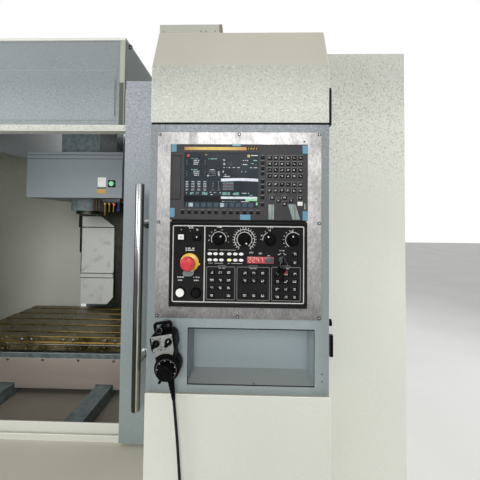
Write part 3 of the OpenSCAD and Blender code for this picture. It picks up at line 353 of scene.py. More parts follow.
plate_low, plate_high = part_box("mounting_plate")
control_plate = plate_steel("brushed_stainless_plate", plate_low.z, plate_high.z, plate_low.x + mm(106))
polished_tube = steel("polished_stainless", "#E8E8E6", "#C9CACA", 0.12, along=(1, 1, 0.02), bump=0.05)
zinc_steel = steel("zinc_plated_steel", "#D2D5D8", "#A9ADB2", 0.32, smear_mm=12)
ground_steel = steel("ground_steel", "#D8D8D6", "#B4B4B2", 0.2, along=(0.05, 1, 1))
brass = steel("turned_brass", "#C9A45A", "#A98544", 0.28, smear_mm=8)
way_cover_steel = steel("way_cover_steel_dark", "#4B4C47", "#3A3B34", 0.36, along=(0.05, 1, 1), smear=0.3)
print("steels:", control_plate.name, polished_tube.name, zinc_steel.name, ground_steel.name)

# %% [markdown]
# ## Plastics, rubber and film
# Bezels and knobs are moulded ABS and nylon with a fine grain, which makes them look soft and dark. Caps and
# buttons are glossy, and the seal and the boots are matt rubber. All are one recipe with other colours,
# grains and gloss.

# %% Plastic and rubber finish
@as_material
def plastic(tree, colour, shade, roughness, grain_mm=1.2, bump=0.12, coat=0.0, glow=0.0, shine=0.5):
    """Moulded plastic or rubber: fine grain in colour and height, optional clear coat and glow"""
    fine = spots(tree, grain_mm, 0.3, 0.7)
    slow = spots(tree, 60, 0.3, 0.7, 0.9, 1.06)
    tone = add(tree, "Mix", {0: fine, 6: colour, 7: shade}, **COLOUR)
    tone = add(tree, "Mix", {0: 1.0, 6: tone, 7: slow}, **TIMES)
    skin = add(tree, "Bump", {"Strength": bump, "Distance": 0.0003, "Height": fine})
    glowing = {"Emission Color": tone} if glow else {}
    return add(tree, "BsdfPrincipled", {
        "Base Color": tone, "Normal": skin, "IOR": 1.46,
        "Roughness": spots(tree, 60, 0.3, 0.7, roughness - 0.04, roughness + 0.06), "Coat Weight": coat,
        "Coat Roughness": 0.08, "Emission Strength": glow, "Specular IOR Level": shine, **glowing})


bezel_abs = plastic("moulded_abs_dark_grey", "#4A494B", "#3C3B3D", 0.5, shine=0.2)
panel_film = plastic("polyester_film_black", "#1B1B1C", "#131314", 0.38, grain_mm=0.8, shine=0.15)
cap_black = plastic("keycap_black", "#0C0C0D", "#08080A", 0.35, shine=0.15)
cap_rim = plastic("keycap_rim_grey", "#86888B", "#77797C", 0.45)
cap_white = plastic("keycap_white", "#ECECE8", "#E2E2DE", 0.35)
print_white = plastic("screen_print_white", "#E4E4E0", "#D6D6D2", 0.5)
print_grey = plastic("screen_print_grey", "#8E8E8C", "#808080", 0.5)
nylon_black = plastic("moulded_nylon_black", "#080809", "#050506", 0.42, grain_mm=1.6, bump=0.2, shine=0.07)
rubber_black = plastic("neoprene_black", "#1A1A1A", "#121212", 0.7, grain_mm=2.5, bump=0.3, shine=0.2)
button_red = plastic("gloss_abs_red", "#DC3440", "#C92B37", 0.25, coat=0.3)
collar_yellow = plastic("gloss_abs_yellow", "#EFC544", "#E3B436", 0.3, coat=0.3)
button_white = plastic("gloss_abs_white", "#F4F4F0", "#E9E9E4", 0.25, coat=0.3)
lamp_white = plastic("lamp_lens_white", "#F2F2F0", "#E6E6E4", 0.3, coat=0.3, glow=0.15)
lamp_yellow = plastic("lamp_lens_yellow", "#EFEAA6", "#E6E096", 0.3, coat=0.3, glow=0.3)
lamp_green = plastic("lamp_lens_green", "#76CC98", "#5BB680", 0.3, coat=0.3, glow=0.35)
masking_blue = plastic("masking_film_blue", "#6699B0", "#5B8DA4", 0.3, grain_mm=6, coat=0.1, shine=0.3)
motor_paint = plastic("motor_enamel_black", "#1D1E20", "#151617", 0.32, grain_mm=4)
cord_sheath = plastic("pvc_sheath_black", "#0B0B0C", "#070708", 0.45, grain_mm=3, shine=0.2)
print("plastics:", bezel_abs.name, panel_film.name, nylon_black.name)

# %% [markdown]
# ## Glass
# The screen is an LCD behind hardened glass, dark blue-grey. The door windows are polycarbonate and show the
# dim inside of the machine. A thin pane bends light very little, so it is a mostly transparent shader with a
# clear reflection.

# %% Glass finishes
@as_material
def clear_pane(tree, tint, clear=0.75):
    """A thin clear pane: see-through with a faint tint, wipe marks in its gloss, and a sharp reflection"""
    wipes = spots(tree, 90, 0.3, 0.7, 0.03, 0.14, detail=4)
    return add(tree, "BsdfPrincipled", {"Base Color": tint, "Roughness": wipes, "IOR": 1.5, "Alpha": 1 - clear})


@as_material
def screen_glass(tree):
    """Lit liquid crystal behind glass: near black, cloudy with its backlight"""
    cloud = spots(tree, 70, 0.3, 0.7)
    shade = add(tree, "Mix", {0: cloud, 6: "#1D252B", 7: "#2A3339"}, **COLOUR)
    return add(tree, "BsdfPrincipled", {
        "Base Color": shade, "Roughness": spots(tree, 90, 0.3, 0.7, 0.3, 0.4), "IOR": 1.5,
        "Specular IOR Level": 0.1, "Emission Color": shade, "Emission Strength": 0.2})


window_pane = clear_pane("polycarbonate_window", "#A8B4B0")
screen_face = screen_glass("liquid_crystal_glass")
print("glass:", window_pane.name, screen_face.name)

# %% [markdown]
# ## Finishes for the CAD parts
# Most sheets, castings and rails already have their real shape in the CAD model, so only their material slots
# change. The record names one slot per kind of finish, and each slot gets its material here. Pieces that
# need more detail are modelled further down.

# %% Materials by slot
FINISHES = {
    "cream": cream_coat, "grey": grey_coat, "castings": casting_paint, "steel": zinc_steel,
    "polished": polished_tube, "bezel": bezel_abs, "panel_black": panel_film, "screen": screen_face,
    "tape": masking_blue, "rubber": rubber_black, "red": button_red, "knob_black": nylon_black,
    "white": button_white, "green": lamp_green, "brass": brass, "window": window_pane,
    "machined": table_iron, "way_cover": way_cover_steel, "guard": cream_coat, "duct": duct_coat,
    "motor": motor_paint,
}
print(len(FINISHES), "finishes")

for part in frame["record"]["subparts"]:
    for material_slot in frame["nodes"][part["node"]].material_slots:
        material_slot.material = FINISHES[part["material_slot"]]
frame["nodes"]["mounting_plate"].material_slots[0].material = control_plate

# %% [markdown]
# ## The pendant's cord
# The pendant's black PVC lead leaves the boot straight down along the pendant's lean, sags into one long
# bight below the picture's edge, and rises on the right into a cable gland on the lower cover. Its route is
# the same list of points as in the CAD source, with a smooth curve through all of them, as the CAD solid's.

# %% Route and sheath of the cord
station_low, station_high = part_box("control_cabinet")
face_y = plate_high.y
CORD_START = Vector(mm(561.46, -1113, 951.78))
CORD_END = Vector(mm(692, -1110, 568))
CORD_THICK = mm(8)
BIGHT_R = 41
CORD_OFFSETS = [
    (98, -37, -60), (105, -38, -130), (113, -39, -230), (121, -40, -340), (128, -40, -440), (133, -40, -530),
    (137, -40, -600), (139, -40, -650), (140, -40, -682)]
for bend in (radians(22.5 * step) for step in range(9)):
    CORD_OFFSETS.append((140 + BIGHT_R * (1 - cos(bend)), -40, -706 - BIGHT_R * sin(bend)))
CORD_OFFSETS += [(222, -39.5, -682), (222, -39, -650), (222, -38, -600), (222, -36, -530), (222, -34, -460)]
station_corner = Vector((station_low.x, face_y, station_low.z))
route = [CORD_START] + [station_corner + Vector(mm(*offset)) for offset in CORD_OFFSETS] + [CORD_END]


def smooth_route(points):
    """Points on a Catmull-Rom curve through all of the given points"""
    made = []
    ends = [2 * points[0] - points[1]] + points + [2 * points[-1] - points[-2]]
    for a, b, c, d in zip(ends, ends[1:], ends[2:], ends[3:]):
        for t in (0, 1 / 3, 2 / 3):
            made.append(0.5 * (
                2 * b + (c - a) * t + (2 * a - 5 * b + 4 * c - d) * t ** 2 + (3 * b - a - 3 * c + d) * t ** 3))
    return made + [points[-1]]


cord_line = smooth_route(route)
cord_length = sum((b - a).length for a, b in zip(cord_line, cord_line[1:]))
cord_data = bpy.data.curves.new("pendant_lead", "CURVE")
cord_data.dimensions = "3D"
cord_data.bevel_depth = CORD_THICK / 2
cord_data.bevel_resolution = 4
cord_data.use_fill_caps = True
strand = cord_data.splines.new("POLY")
strand.points.add(len(cord_line) - 1)
for point, place in zip(strand.points, cord_line):
    point.co = (*place, 1)
cord_data.materials.append(cord_sheath)
pendant_lead = link(bpy.data.objects.new("pendant_lead", cord_data))
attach(pendant_lead, "frame")
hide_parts("pendant_cord")
print("cord", round(cord_length, 3), "m on", len(cord_line), "points")

# %% [markdown]
# ## Modelling by hand
# Each new piece starts as a primitive at its real size and place and is shaped with the operators that a
# modeller clicks: bevel, inset, extrude, resize and boolean cuts. Operators act on whatever is selected, so
# the first helper selects exactly what the next step works on. Sizes in these helpers are millimetres.

# %% Selecting and applying modifiers
import bmesh


def pick(*objects):
    """Selects only these objects and makes the first one active, in object mode"""
    if bpy.context.object and bpy.context.object.mode != "OBJECT":
        bpy.ops.object.mode_set(mode="OBJECT")
    bpy.ops.object.select_all(action="DESELECT")
    for obj in objects:
        obj.select_set(True)
    if objects:
        bpy.context.view_layer.objects.active = objects[0]


def settle(name):
    """Names the newest primitive and puts its place and size into its mesh"""
    obj = bpy.context.object
    obj.name = name
    bpy.ops.object.transform_apply(location=True, rotation=True, scale=True)
    return obj


def shape(obj, kind, **settings):
    """Adds a modifier with these settings and applies it"""
    pick(obj)
    modifier = obj.modifiers.new(kind, kind)
    for name, value in settings.items():
        setattr(modifier, name, value)
    bpy.ops.object.modifier_apply(modifier=modifier.name)
    return obj


def ease(obj, width, segments=2, over=40):
    """Rounds the edges that turn by more than an angle in degrees"""
    return shape(obj, "BEVEL", width=mm(width), segments=segments, limit_method="ANGLE", angle_limit=radians(over))


def choose(obj, kind, test):
    """Opens the piece in edit mode with the faces or edges selected that pass the test"""
    pick(obj)
    bpy.ops.object.mode_set(mode="EDIT")
    bpy.ops.mesh.select_mode(type=kind)
    bpy.ops.mesh.select_all(action="DESELECT")
    mesh = bmesh.from_edit_mesh(obj.data)
    for part in (mesh.faces if kind == "FACE" else mesh.edges):
        part.select_set(bool(test(part)))
    bmesh.update_edit_mesh(obj.data)


def along(axis):
    """A test for edges that run along one axis, given as its number"""
    def test(edge):
        run = edge.verts[1].co - edge.verts[0].co
        return abs(run[axis]) > 0.98 * run.length
    return test


print("helpers: pick, settle, shape, ease, choose")


# %% Blocks, plates and turned pieces
def block(name, low, high, edge=0.8, segments=2):
    """A block between two corners in mm, with its edges rounded"""
    pick()
    middle = [(a + b) / 2 for a, b in zip(low, high)]
    bpy.ops.mesh.primitive_cube_add(size=1, location=mm(*middle))
    bpy.context.object.scale = mm(*[b - a for a, b in zip(low, high)])
    obj = settle(name)
    if edge:
        shape(obj, "BEVEL", width=mm(edge), segments=segments)
    return obj


def plate(name, low, high, corner, edge=0.4, axis=1):
    """A plate that is flat across one axis: its corners are rounded first, then its rims are softened"""
    obj = block(name, low, high, edge=0)
    choose(obj, "EDGE", along(axis))
    bpy.ops.mesh.bevel(offset=mm(corner), segments=6, affect="EDGES")
    pick(obj)
    if edge:
        ease(obj, edge, over=50)
    return obj


TOWARD = {
    "front": Matrix.Rotation(pi / 2, 4, "X"), "back": Matrix.Rotation(-pi / 2, 4, "X"), "up": Matrix.Identity(4),
    "down": Matrix.Rotation(pi, 4, "X"), "right": Matrix.Rotation(pi / 2, 4, "Y"),
    "left": Matrix.Rotation(-pi / 2, 4, "Y")}


def turned(name, profile, place, toward="front", steps=40):
    """A turned piece: a disc is extruded and resized through (radius, distance) pairs in mm"""
    pick()
    (radius, start), rest = profile[0], profile[1:]
    bpy.ops.mesh.primitive_circle_add(
        vertices=steps, radius=mm(radius), fill_type="NGON", location=(0, 0, mm(start)))
    obj = settle(name)
    bpy.ops.object.mode_set(mode="EDIT")
    for next_radius, distance in rest:
        bpy.ops.mesh.extrude_region_move(TRANSFORM_OT_translate={"value": (0, 0, mm(distance - start))})
        ratio = next_radius / radius
        bpy.ops.transform.resize(value=(ratio, ratio, 1))
        radius, start = next_radius, distance
    bpy.ops.mesh.select_all(action="SELECT")
    bpy.ops.mesh.normals_make_consistent(inside=False)
    bpy.ops.object.mode_set(mode="OBJECT")
    obj.data.transform(shift(*place) @ TOWARD[toward])
    return obj


def cut(obj, *cutters):
    """Cuts the cutters out of a piece and deletes them"""
    for cutter in cutters:
        shape(obj, "BOOLEAN", operation="DIFFERENCE", object=cutter, solver="EXACT")
        bpy.data.objects.remove(cutter)
    return obj


def join(name, objects):
    """Joins pieces into one, which keeps each piece's own material"""
    pick(*objects)
    if len(objects) > 1:
        bpy.ops.object.join()
    objects[0].name = name
    return objects[0]


def copies(obj, offsets, name=None):
    """Copies a piece to each offset in mm, each copy with its own mesh, and joins them all"""
    made = []
    for offset in offsets:
        twin = obj.copy()
        twin.data = obj.data.copy()
        twin.data.transform(shift(*offset))
        link(twin)
        made.append(twin)
    bpy.data.objects.remove(obj)
    return join(name or made[0].name, made)


def paint(obj, material):
    """Gives every face of a piece one finish"""
    obj.data.materials.clear()
    obj.data.materials.append(material)
    return obj


def hand_over(obj, slot, material=None, stands_for=(), body="frame", smooth=35):
    """Smooths a finished piece, paints it if a material is given, hangs it on its body and hides the CAD parts it
    stands for; slot is not used
    """
    if material:
        paint(obj, material)
    pick(obj)
    bpy.ops.object.shade_smooth_by_angle(angle=radians(smooth))
    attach(obj, body)
    if stands_for:
        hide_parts(*stands_for)
    return obj


print("helpers: block, plate, turned, cut, join, copies, hand_over")

# %% [markdown]
# ## Printed marks
# Legends, scales and outlines are screen printed, 0.1 mm thick on the real part and twice that here, to
# stand clear of the panel. No real words are drawn: a small cluster of strokes of random length reads as a
# legend at this distance, and one seeded generator keeps each run the same.

# %% Bars, legends, outlines and scales
PRINT = 0.2
chance = random.Random(7)
pattern = block("pattern", (-500, -1000, -500), (500, 0, 500), 0)
bar_mesh = pattern.data.copy()
bpy.data.objects.remove(pattern)


def bar(x, y, z, width, height, thick=PRINT, turn=0):
    """A copy of the pattern bar in mm, centred on x and z and standing on the plane y, turned in that plane"""
    mesh = bar_mesh.copy()
    mesh.transform(
        shift(x, y, z) @ Matrix.Rotation(-turn, 4, "Y") @ Matrix.Diagonal(mm(width, thick, height) + (1,)))
    return link(bpy.data.objects.new("bar", mesh))


def legend(x, y, z, width, height, rows=2, fill=0.7):
    """A cluster of bars that stands for a legend: rows of bars with gaps of random length"""
    made = []
    row_height = height / rows
    for row in range(rows):
        left = x - width / 2
        while left < x + width / 2 - 0.6:
            run = min(chance.uniform(0.8, 2.6), x + width / 2 - left)
            if chance.random() < fill:
                made.append(bar(
                    left + run / 2, y, z + height / 2 - (row + 0.5) * row_height, run * 0.8, row_height * 0.62))
            left += run
    return made or [bar(x, y, z, width * 0.6, height * 0.6)]


def outline(low, high, y, line, corner):
    """A rounded rectangular line: a plate with its middle cut out"""
    (x0, z0), (x1, z1) = low, high
    ring = plate("outline", (x0, y - PRINT, z0), (x1, y, z1), corner, 0)
    hole = plate("hole", (x0 + line, y - 2, z0 + line), (x1 - line, y + 2, z1 - line), max(corner - line, 0.3), 0)
    return cut(ring, hole)


def arc_line(x, y, z, radius, line, start, end):
    """A printed arc, angles in degrees anticlockwise from the right: a chain of short bars"""
    count = max(4, int(abs(end - start) / 9))
    length = radians(abs(end - start) / count) * radius * 1.06
    made = []
    for step in range(count):
        angle = radians(start + (end - start) * (step + 0.5) / count)
        made.append(bar(x + radius * cos(angle), y, z + radius * sin(angle), length, line, turn=angle + pi / 2))
    return made


def ticks(x, y, z, radius, length, line, angles):
    """Printed ticks round a knob, pointing to its middle"""
    return [bar(x + radius * cos(a), y, z + radius * sin(a), length, line, turn=a) for a in map(radians, angles)]


print("helpers: bar, legend, outline, arc_line, ticks")

# %% [markdown]
# ## The display unit
# The upper module of the station is a moulded bezel 400 mm wide around a 10.4 inch screen, with a card door
# on its left, rows of small black caps, and a box of electronics behind the plate. The bezel is a block with
# its screen opening and its card bay cut out. Places on it are measured from its lower left corner, u to the
# right and v up.

# %% Bezel with its openings
display_low, display_high = box_mm("corner_tapes")
screen_low, screen_high = box_mm("display_screen")
plate_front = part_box("mounting_plate")[0].y * 1000
DISPLAY_W, DISPLAY_H = 400, 221
display_front = display_high.y
display_x = display_low.x
display_z = display_high.z - DISPLAY_H


def on_display(u, v, proud=0.0):
    """A place on the display unit, in mm: u right and v up from its lower left corner, proud of its front"""
    return (display_x + u, display_front - proud, display_z + v)


bezel = block("bezel", on_display(0, 0), (display_x + DISPLAY_W, plate_front, display_z + DISPLAY_H), 1.6, 3)
screen_bay = block(
    "screen_bay", (screen_low.x, display_front - 5, screen_low.z),
    (screen_high.x, display_front + 5, screen_high.z), 1.0)
CARD_U, CARD_V, CARD_W, CARD_H = 2, 59, 28.5, 127
card_bay = block(
    "card_bay", on_display(CARD_U - 1.2, CARD_V - 1.2, 3),
    on_display(CARD_U + CARD_W + 1.2, CARD_V + CARD_H + 1.2, -4.2), 0)
bezel = cut(bezel, screen_bay, card_bay)
rear_box = block("rear_box", (display_x + 10, plate_front + 0.2, display_z + 10), (
    display_x + DISPLAY_W - 10, display_front + 75, display_z + DISPLAY_H - 10), 2)
lip = outline((screen_low.x - 3, screen_low.z - 3), (screen_high.x + 3, screen_high.z + 3), display_front, 2.6, 3)
hand_over(join("display_bezel", [bezel, rear_box, lip]), "bezel", bezel_abs, ["display_unit"])
print("bezel", DISPLAY_W, "x", DISPLAY_H, "mm, front at", round(display_front, 1))

# %% Card door
card = block("card", on_display(CARD_U, CARD_V, 0.6), on_display(CARD_U + CARD_W, CARD_V + CARD_H, -2.8), 0.8)
groove = block(
    "groove", on_display(CARD_U - 1, CARD_V + 34, 2), on_display(CARD_U + CARD_W + 1, CARD_V + 35, -0.2), 0)
pull = block(
    "pull", on_display(CARD_U + CARD_W - 5, CARD_V + 70, 2), on_display(CARD_U + CARD_W + 1, CARD_V + 92, -0.4), 0)
card = cut(card, groove, pull)
pin = turned(
    "pin", [(1.1, 0), (1.2, 0.2), (1.2, CARD_H - 2.2), (1.1, CARD_H - 2)],
    on_display(CARD_U + 1.2, CARD_V + 1, 0.2), "up", 16)
hand_over(join("card_door", [card, pin]), "bezel", bezel_abs, ["card_slot_door"], "card_door")
print("card door", CARD_W, "x", CARD_H)


# %% [markdown]
# The caps are black and slightly domed, with a pale line above each and, on the large caps, one beside it:
# partly a printed frame, partly a painted highlight on the cap's upper edge. Nine stand beside the screen,
# twelve soft keys under it, six by six on the right and a cursor group. One cap is modelled and copied to
# all its places.

# %% Keys of the display
def cap(name, width, height):
    """A domed key cap that stands on the plane y = 0, centred on x and z"""
    key = block(name, (-width / 2, -2.2, -height / 2), (width / 2, 0.3, height / 2), 0)
    choose(key, "FACE", lambda face: face.normal.y < -0.9)
    bpy.ops.transform.resize(value=(0.84, 1, 0.8))
    pick(key)
    return shape(key, "BEVEL", width=mm(0.7), segments=2)


column_keys = [(269.4, 182.3 - 15.7 * row - (6.5 if row > 3 else 0) - (5.2 if row > 7 else 0)) for row in range(9)]
soft_keys = [(37.5 + 19.6 * column + (3.5 if column > 5 else 0), 22) for column in range(12)]
grid_keys = [
    (289 + 17.8 * column, 181.4 - 17.7 * row - (6.2 if row > 3 else 0)) for row in range(6) for column in range(6)]
cursor_keys = [(297.8, 66), (332.9, 66), (314.9, 57.7), (350.6, 57.7), (332.9, 48.8), (377.5, 66)]
small_keys = copies(cap("small_caps", 10.6, 10), [on_display(u, v) for u, v in column_keys + soft_keys])
large_keys = copies(cap("large_caps", 12.6, 12), [on_display(u, v) for u, v in grid_keys + cursor_keys])
hand_over(join("display_caps", [small_keys, large_keys]), "bezel", cap_black)
white_key = cap("white_cap", 15.5, 12.5)
white_key.data.transform(shift(*on_display(377.5, 48.8)))
hand_over(white_key, "white", cap_white)

# Pale lines above each cap and left of each large cap: partly printed frame, partly painted highlight
frames_and_highlights = [bar(*on_display(u, v + 6.6), 10.5, 1.2) for u, v in column_keys + soft_keys]
for u, v in grid_keys + cursor_keys:
    x, y, z = on_display(u, v)
    frames_and_highlights += [bar(x, y, z + 7.2, 13.8, 1.0), bar(x - 7.2, y, z + 1.2, 0.9, 12)]
hand_over(join("display_key_frames_and_highlights", frames_and_highlights), "bezel", print_grey)
marks = []
for u, v in grid_keys + cursor_keys + [(377.5, 48.8)]:
    x, y, z = on_display(u, v, 2.2)
    marks += legend(x, y, z, 6.5, 5.4, 2, 0.62)
hand_over(join("display_key_legends", marks), "bezel", print_white)
print(len(grid_keys) + len(cursor_keys) + len(column_keys) + len(soft_keys), "caps,", len(marks), "strokes")

# %% [markdown]
# ## What the screen shows
# A control's screen in use holds read-outs in columns, a program list, a bright title band and a row of
# soft-key fields. They are lit, so each tone glows a little on top of its colour. Nothing can be read on it:
# all of it is bars and strokes, placed in mm from the screen's upper left corner.

# %% Lit tones
@as_material
def lit(tree, colour, glow):
    """A lit picture element: its own colour, slightly uneven, that also glows"""
    uneven = spots(tree, 6, 0.3, 0.7, 0.75, 1.0)
    shade = add(tree, "Mix", {0: 1.0, 6: colour, 7: uneven}, **TIMES)
    return add(tree, "BsdfPrincipled", {
        "Base Color": shade, "Roughness": 0.25, "Emission Color": shade, "Emission Strength": glow,
        "Specular IOR Level": 0.1})


SCREEN_TONES = {
    "white": lit("lit_white", "#C9D2D6", 0.35), "dim": lit("lit_dim", "#8A9AA0", 0.2),
    "cyan": lit("lit_cyan", "#8FC9C0", 0.3), "rose": lit("lit_rose", "#A88A92", 0.2),
    "red": lit("lit_red", "#B8454E", 0.3), "amber": lit("lit_amber", "#B9A650", 0.3),
    "black": lit("lit_black", "#15181A", 0.0), "slate": lit("lit_slate", "#475561", 0.15),
    "band": lit("lit_band", "#D5D9E4", 0.3), "patch": lit("lit_patch", "#8FCB9E", 0.3),
}
shown = {tone: [] for tone in SCREEN_TONES}


def show(tone, across, down, width, height, thick=PRINT):
    """A lit bar, placed by its middle in mm from the screen's upper left corner"""
    shown[tone].append(bar(screen_low.x + across, screen_low.y, screen_high.z - down, width, height, thick))


def show_text(tone, across, down, width, height, rows=1, fill=0.72):
    """Rows of lit strokes, placed by their middle in mm from the screen's upper left corner"""
    shown[tone].extend(legend(screen_low.x + across, screen_low.y, screen_high.z - down, width, height, rows, fill))


print(len(SCREEN_TONES), "tones on a screen", round(screen_high.x - screen_low.x), "mm wide")

# %% Left half: read-outs and tables
show("red", 10, 8, 7.5, 7.5)
show_text("amber", 64, 5.5, 8, 4.5)
for top in (17, 49.5):
    show_text("cyan", 28.5, top, 19, 3)
    for row in range(3):
        down = top + 5.2 + 5.6 * row
        show_text("dim", 6.5, down, 2.2, 3)
        show_text("white", 34.5, down, 17, 3.8, 1, 0.9)
        show_text("dim", 60, down, 2.2, 3)
show_text("cyan", 82, 17.6, 26, 3.6, 1, 0.8)
show_text("white", 81, 50, 14, 3.4, 1, 0.9)
for row in range(3):
    show_text("rose" if row == 1 else "dim", 81, 56 + 5.2 * row, 21, 2.6, 1, 0.8)
show("white", 69, 67, 4, 4)
show_text("white", 100.5, 61.5, 6, 14, 4, 0.8)
for column, width in ((7.5, 8), (25, 9), (42.5, 8.5), (60, 8.5)):
    for row in range(6):
        show_text("rose" if row == 4 else "white", column, 84.6 + 4.9 * row, width, 3, 1, 0.95)
for column in (84, 100.5):
    for row in range(6):
        show_text("rose" if row == 3 else "dim", column, 84.6 + 4.9 * row, 4 if row < 5 else 10, 2.6, 1, 0.8)
for strokes in (
        ("white", 7, 118, 4.5, 7), ("cyan", 22, 119, 11, 7, 2, 0.85), ("dim", 38, 118.5, 11, 7, 3, 0.8),
        ("cyan", 60, 119, 16, 9, 3, 0.85)):
    show_text(*strokes)
for across, down in ((76, 116), (80, 122.5), (90, 116.5), (104, 117)):
    show_text("white", across, down, 6.5, 3.4)
show("black", 53.5, 134.5, 107, 16)
show_text("dim", 6.5, 152.5, 1.6, 11, 4, 1)
for place in range(6):
    show("slate" if 0 < place < 5 else "dim", 19.5 + 18.4 * place, 152.5, 13.5, 12.5, 0.1)
for place in (0, 5):
    show_text("white", 19.5 + 18.4 * place, 152.5, 11, 10, 3, 0.9)
print("left half", sum(len(bars) for bars in shown.values()), "bars")

# %% Right half: program list, title band and soft-key fields
show("amber", 187, 9, 8, 7.5)
for strokes in (
        ("white", 203.5, 7.5, 20, 4.6, 1, 0.95), ("white", 115, 21, 7, 6, 2), ("white", 116, 33, 6, 6.5, 2),
        ("dim", 131, 29.5, 14, 1.4), ("dim", 134, 35, 11, 2), ("white", 178, 22, 20, 3.8, 1, 0.85),
        ("white", 175.5, 34, 17, 3.8, 1, 0.85), ("cyan", 204.5, 22, 15, 4.4, 1, 0.85), ("cyan", 198, 31, 7, 4),
        ("white", 210, 34.5, 4, 3.5)):
    show_text(*strokes)
for across, width in ((115.5, 4), (128.5, 10), (144, 7), (157.5, 8), (194, 5), (207, 10)):
    show_text("white", across, 43, width, 3.2, 1, 0.9)
show("white", 113, 55, 2.6, 6)
show("dim", 167, 55, 3, 3)
show("dim", 178.5, 55, 3, 3)
show_text("white", 118.5, 63.5, 5.5, 3.4)
show_text("white", 124, 69, 19, 4, 1, 0.9)
for step in range(16):
    across = 110.5 + 6.75 * step
    show("band", across, 79.5 - 1.6 * sin(pi * step / 15), 6.9, 8.2, 0.15)
for row in range(6):
    show_text("rose" if row in (2, 5) else "dim", 128, 85.5 + 4.4 * row, 32, 3, 1, 0.95)
show_text("cyan", 122, 119.5, 23, 9, 3, 0.95)
show_text("cyan", 151, 119.5, 19, 8, 3, 0.85)
show_text("white", 178.5, 118, 21, 3.4)
show_text("cyan", 195, 123.5, 10, 2.4)
show("white", 160, 131.2, 105.5, 6.4, 0.15)
show("patch", 195.5, 137, 34, 6.4, 0.25)
for strokes in (
        ("white", 114.5, 142.3, 7.5, 2.6), ("dim", 138, 142.3, 32, 2.2), ("white", 177, 142.3, 22, 2.8, 1, 0.85)):
    show_text(*strokes)
for place in range(5):
    show("slate", 121 + 18.4 * place, 152.5, 13.5, 12.5, 0.1)
show("patch", 211.5, 148.5, 4.4, 8)
show("dim", 106.5, 153, 3, 3)
picture = join("screen_picture", [
    paint(join("lit_" + tone, bars), SCREEN_TONES[tone]) for tone, bars in shown.items()])
hand_over(picture, "screen")
print("screen picture", len(picture.data.polygons), "faces")

# %% [markdown]
# ## Amber strip, blue tapes and clear film
# Over the screen runs a bare amber strip that ends in a dark field. Blue low-tack film still holds the
# bezel's corners, and clear protective film has been peeled off in streaks, milky stripes on the right.

# %% Strip and film
@as_material
def clear_film(tree):
    """Peeled protective film: mostly clear, milky along its streaks and folds"""
    milk = spots(tree, 7, 0.3, 0.7, 0.22, 0.75, stretch=(1, 1, 0.12), detail=3)
    return add(tree, "BsdfPrincipled", {"Base Color": "#AFC0BB", "Roughness": 0.22, "Alpha": milk, "IOR": 1.5})


@as_material
def strip_amber(tree, left, right):
    """Printed amber strip: deeper orange at its ends, and lighter along its middle"""
    across = on_object(tree)["X"]
    run = add(tree, "MapRange", {
        "Value": across, "From Min": left, "From Max": right, "To Min": -1.0, "To Max": 1.0})
    ends = add(tree, "Math", {0: run, 1: run}, operation="MULTIPLY")
    wear = add(tree, "Math", {0: ends, 1: spots(tree, 5, 0.35, 0.65, 0.0, 0.35)}, operation="ADD")
    shade = add(tree, "Mix", {0: wear, 6: "#DCC551", 7: "#BA8335"}, **COLOUR)
    return add(tree, "BsdfPrincipled", {"Base Color": shade, "Roughness": 0.4})


def display_bar(u0, v0, u1, v1, thick=PRINT):
    """A thin bar on the bezel between two corners"""
    x, y, z = on_display((u0 + u1) / 2, (v0 + v1) / 2)
    return bar(x, y, z, u1 - u0, v1 - v0, thick)


amber = display_bar(41, 203.4, 222, 212.4)
hand_over(amber, "bezel", strip_amber("printed_amber_strip", mm(display_x + 41), mm(display_x + 222)))
amber.name = "amber_strip"
dark_field = display_bar(222, 203.4, 257, 212.4)
hand_over(dark_field, "bezel", panel_film)
dark_field.name = "amber_strip_end"
field_marks = []
for u in (228, 236, 243.5, 251.5):
    x, y, z = on_display(u, 208, PRINT)
    field_marks.append(bar(x, y, z, 2.2, 7.4, turn=radians(-32)))
field_marks += legend(*on_display(240, 208.5, PRINT), 14, 4.4, 2, 0.7)
hand_over(join("amber_strip_marks", field_marks), "bezel", plastic("screen_print_amber", "#C9A04A", "#B88E3C", 0.5))
film = clear_film("peeled_clear_film")
streaks = [display_bar(286.5, 3, 303, 46, 0.15)]
slanted = display_bar(356, 3, 378, 47, 0.15)
choose(slanted, "FACE", lambda face: face.normal.z > 0.9)
bpy.ops.transform.translate(value=mm(-14, 0, 0))
pick(slanted)
streaks += [slanted, display_bar(389, 33, 394.5, 50, 0.15)]
hand_over(join("peeled_film", streaks), "tape", film)
print("strip and film on the bezel")

# %% [markdown]
# ## The operator panel
# Under the display stands a black panel of the same width: a raised frame with a printed film face, the stop
# button, four rotary switches, twelve status lamps, a red read-out, a key switch and three blocks of
# membrane keys. The frame is a block whose face is inset and pushed back.

# %% Panel frame and face
panel_low, panel_high = box_mm("operator_panel")
PANEL_FRAME = 5.5
FACE_BACK = 6
panel_front = panel_low.y
panel_face = panel_front + FACE_BACK


def on_panel(u, v, proud=0.0):
    """A place on the operator panel, in mm from its lower left corner, proud of its printed face"""
    return (panel_low.x + u, panel_face - proud, panel_low.z + v)


shell_block = block("panel", (panel_low.x, panel_front, panel_low.z), (panel_high.x, plate_front, panel_high.z), 0)
choose(shell_block, "FACE", lambda face: face.normal.y < -0.9)
bpy.ops.mesh.inset(thickness=mm(PANEL_FRAME), depth=0)
bpy.ops.mesh.inset(thickness=mm(1.5), depth=-mm(FACE_BACK))
pick(shell_block)
ease(shell_block, 1.2, 3)
panel_box = block(
    "panel_box", (panel_low.x + 8, plate_front + 0.2, panel_low.z + 8),
    (panel_high.x - 8, panel_high.y, panel_high.z - 8), 2)
hand_over(join("panel_frame", [shell_block, panel_box]), "panel_black", panel_film, ["operator_panel"])
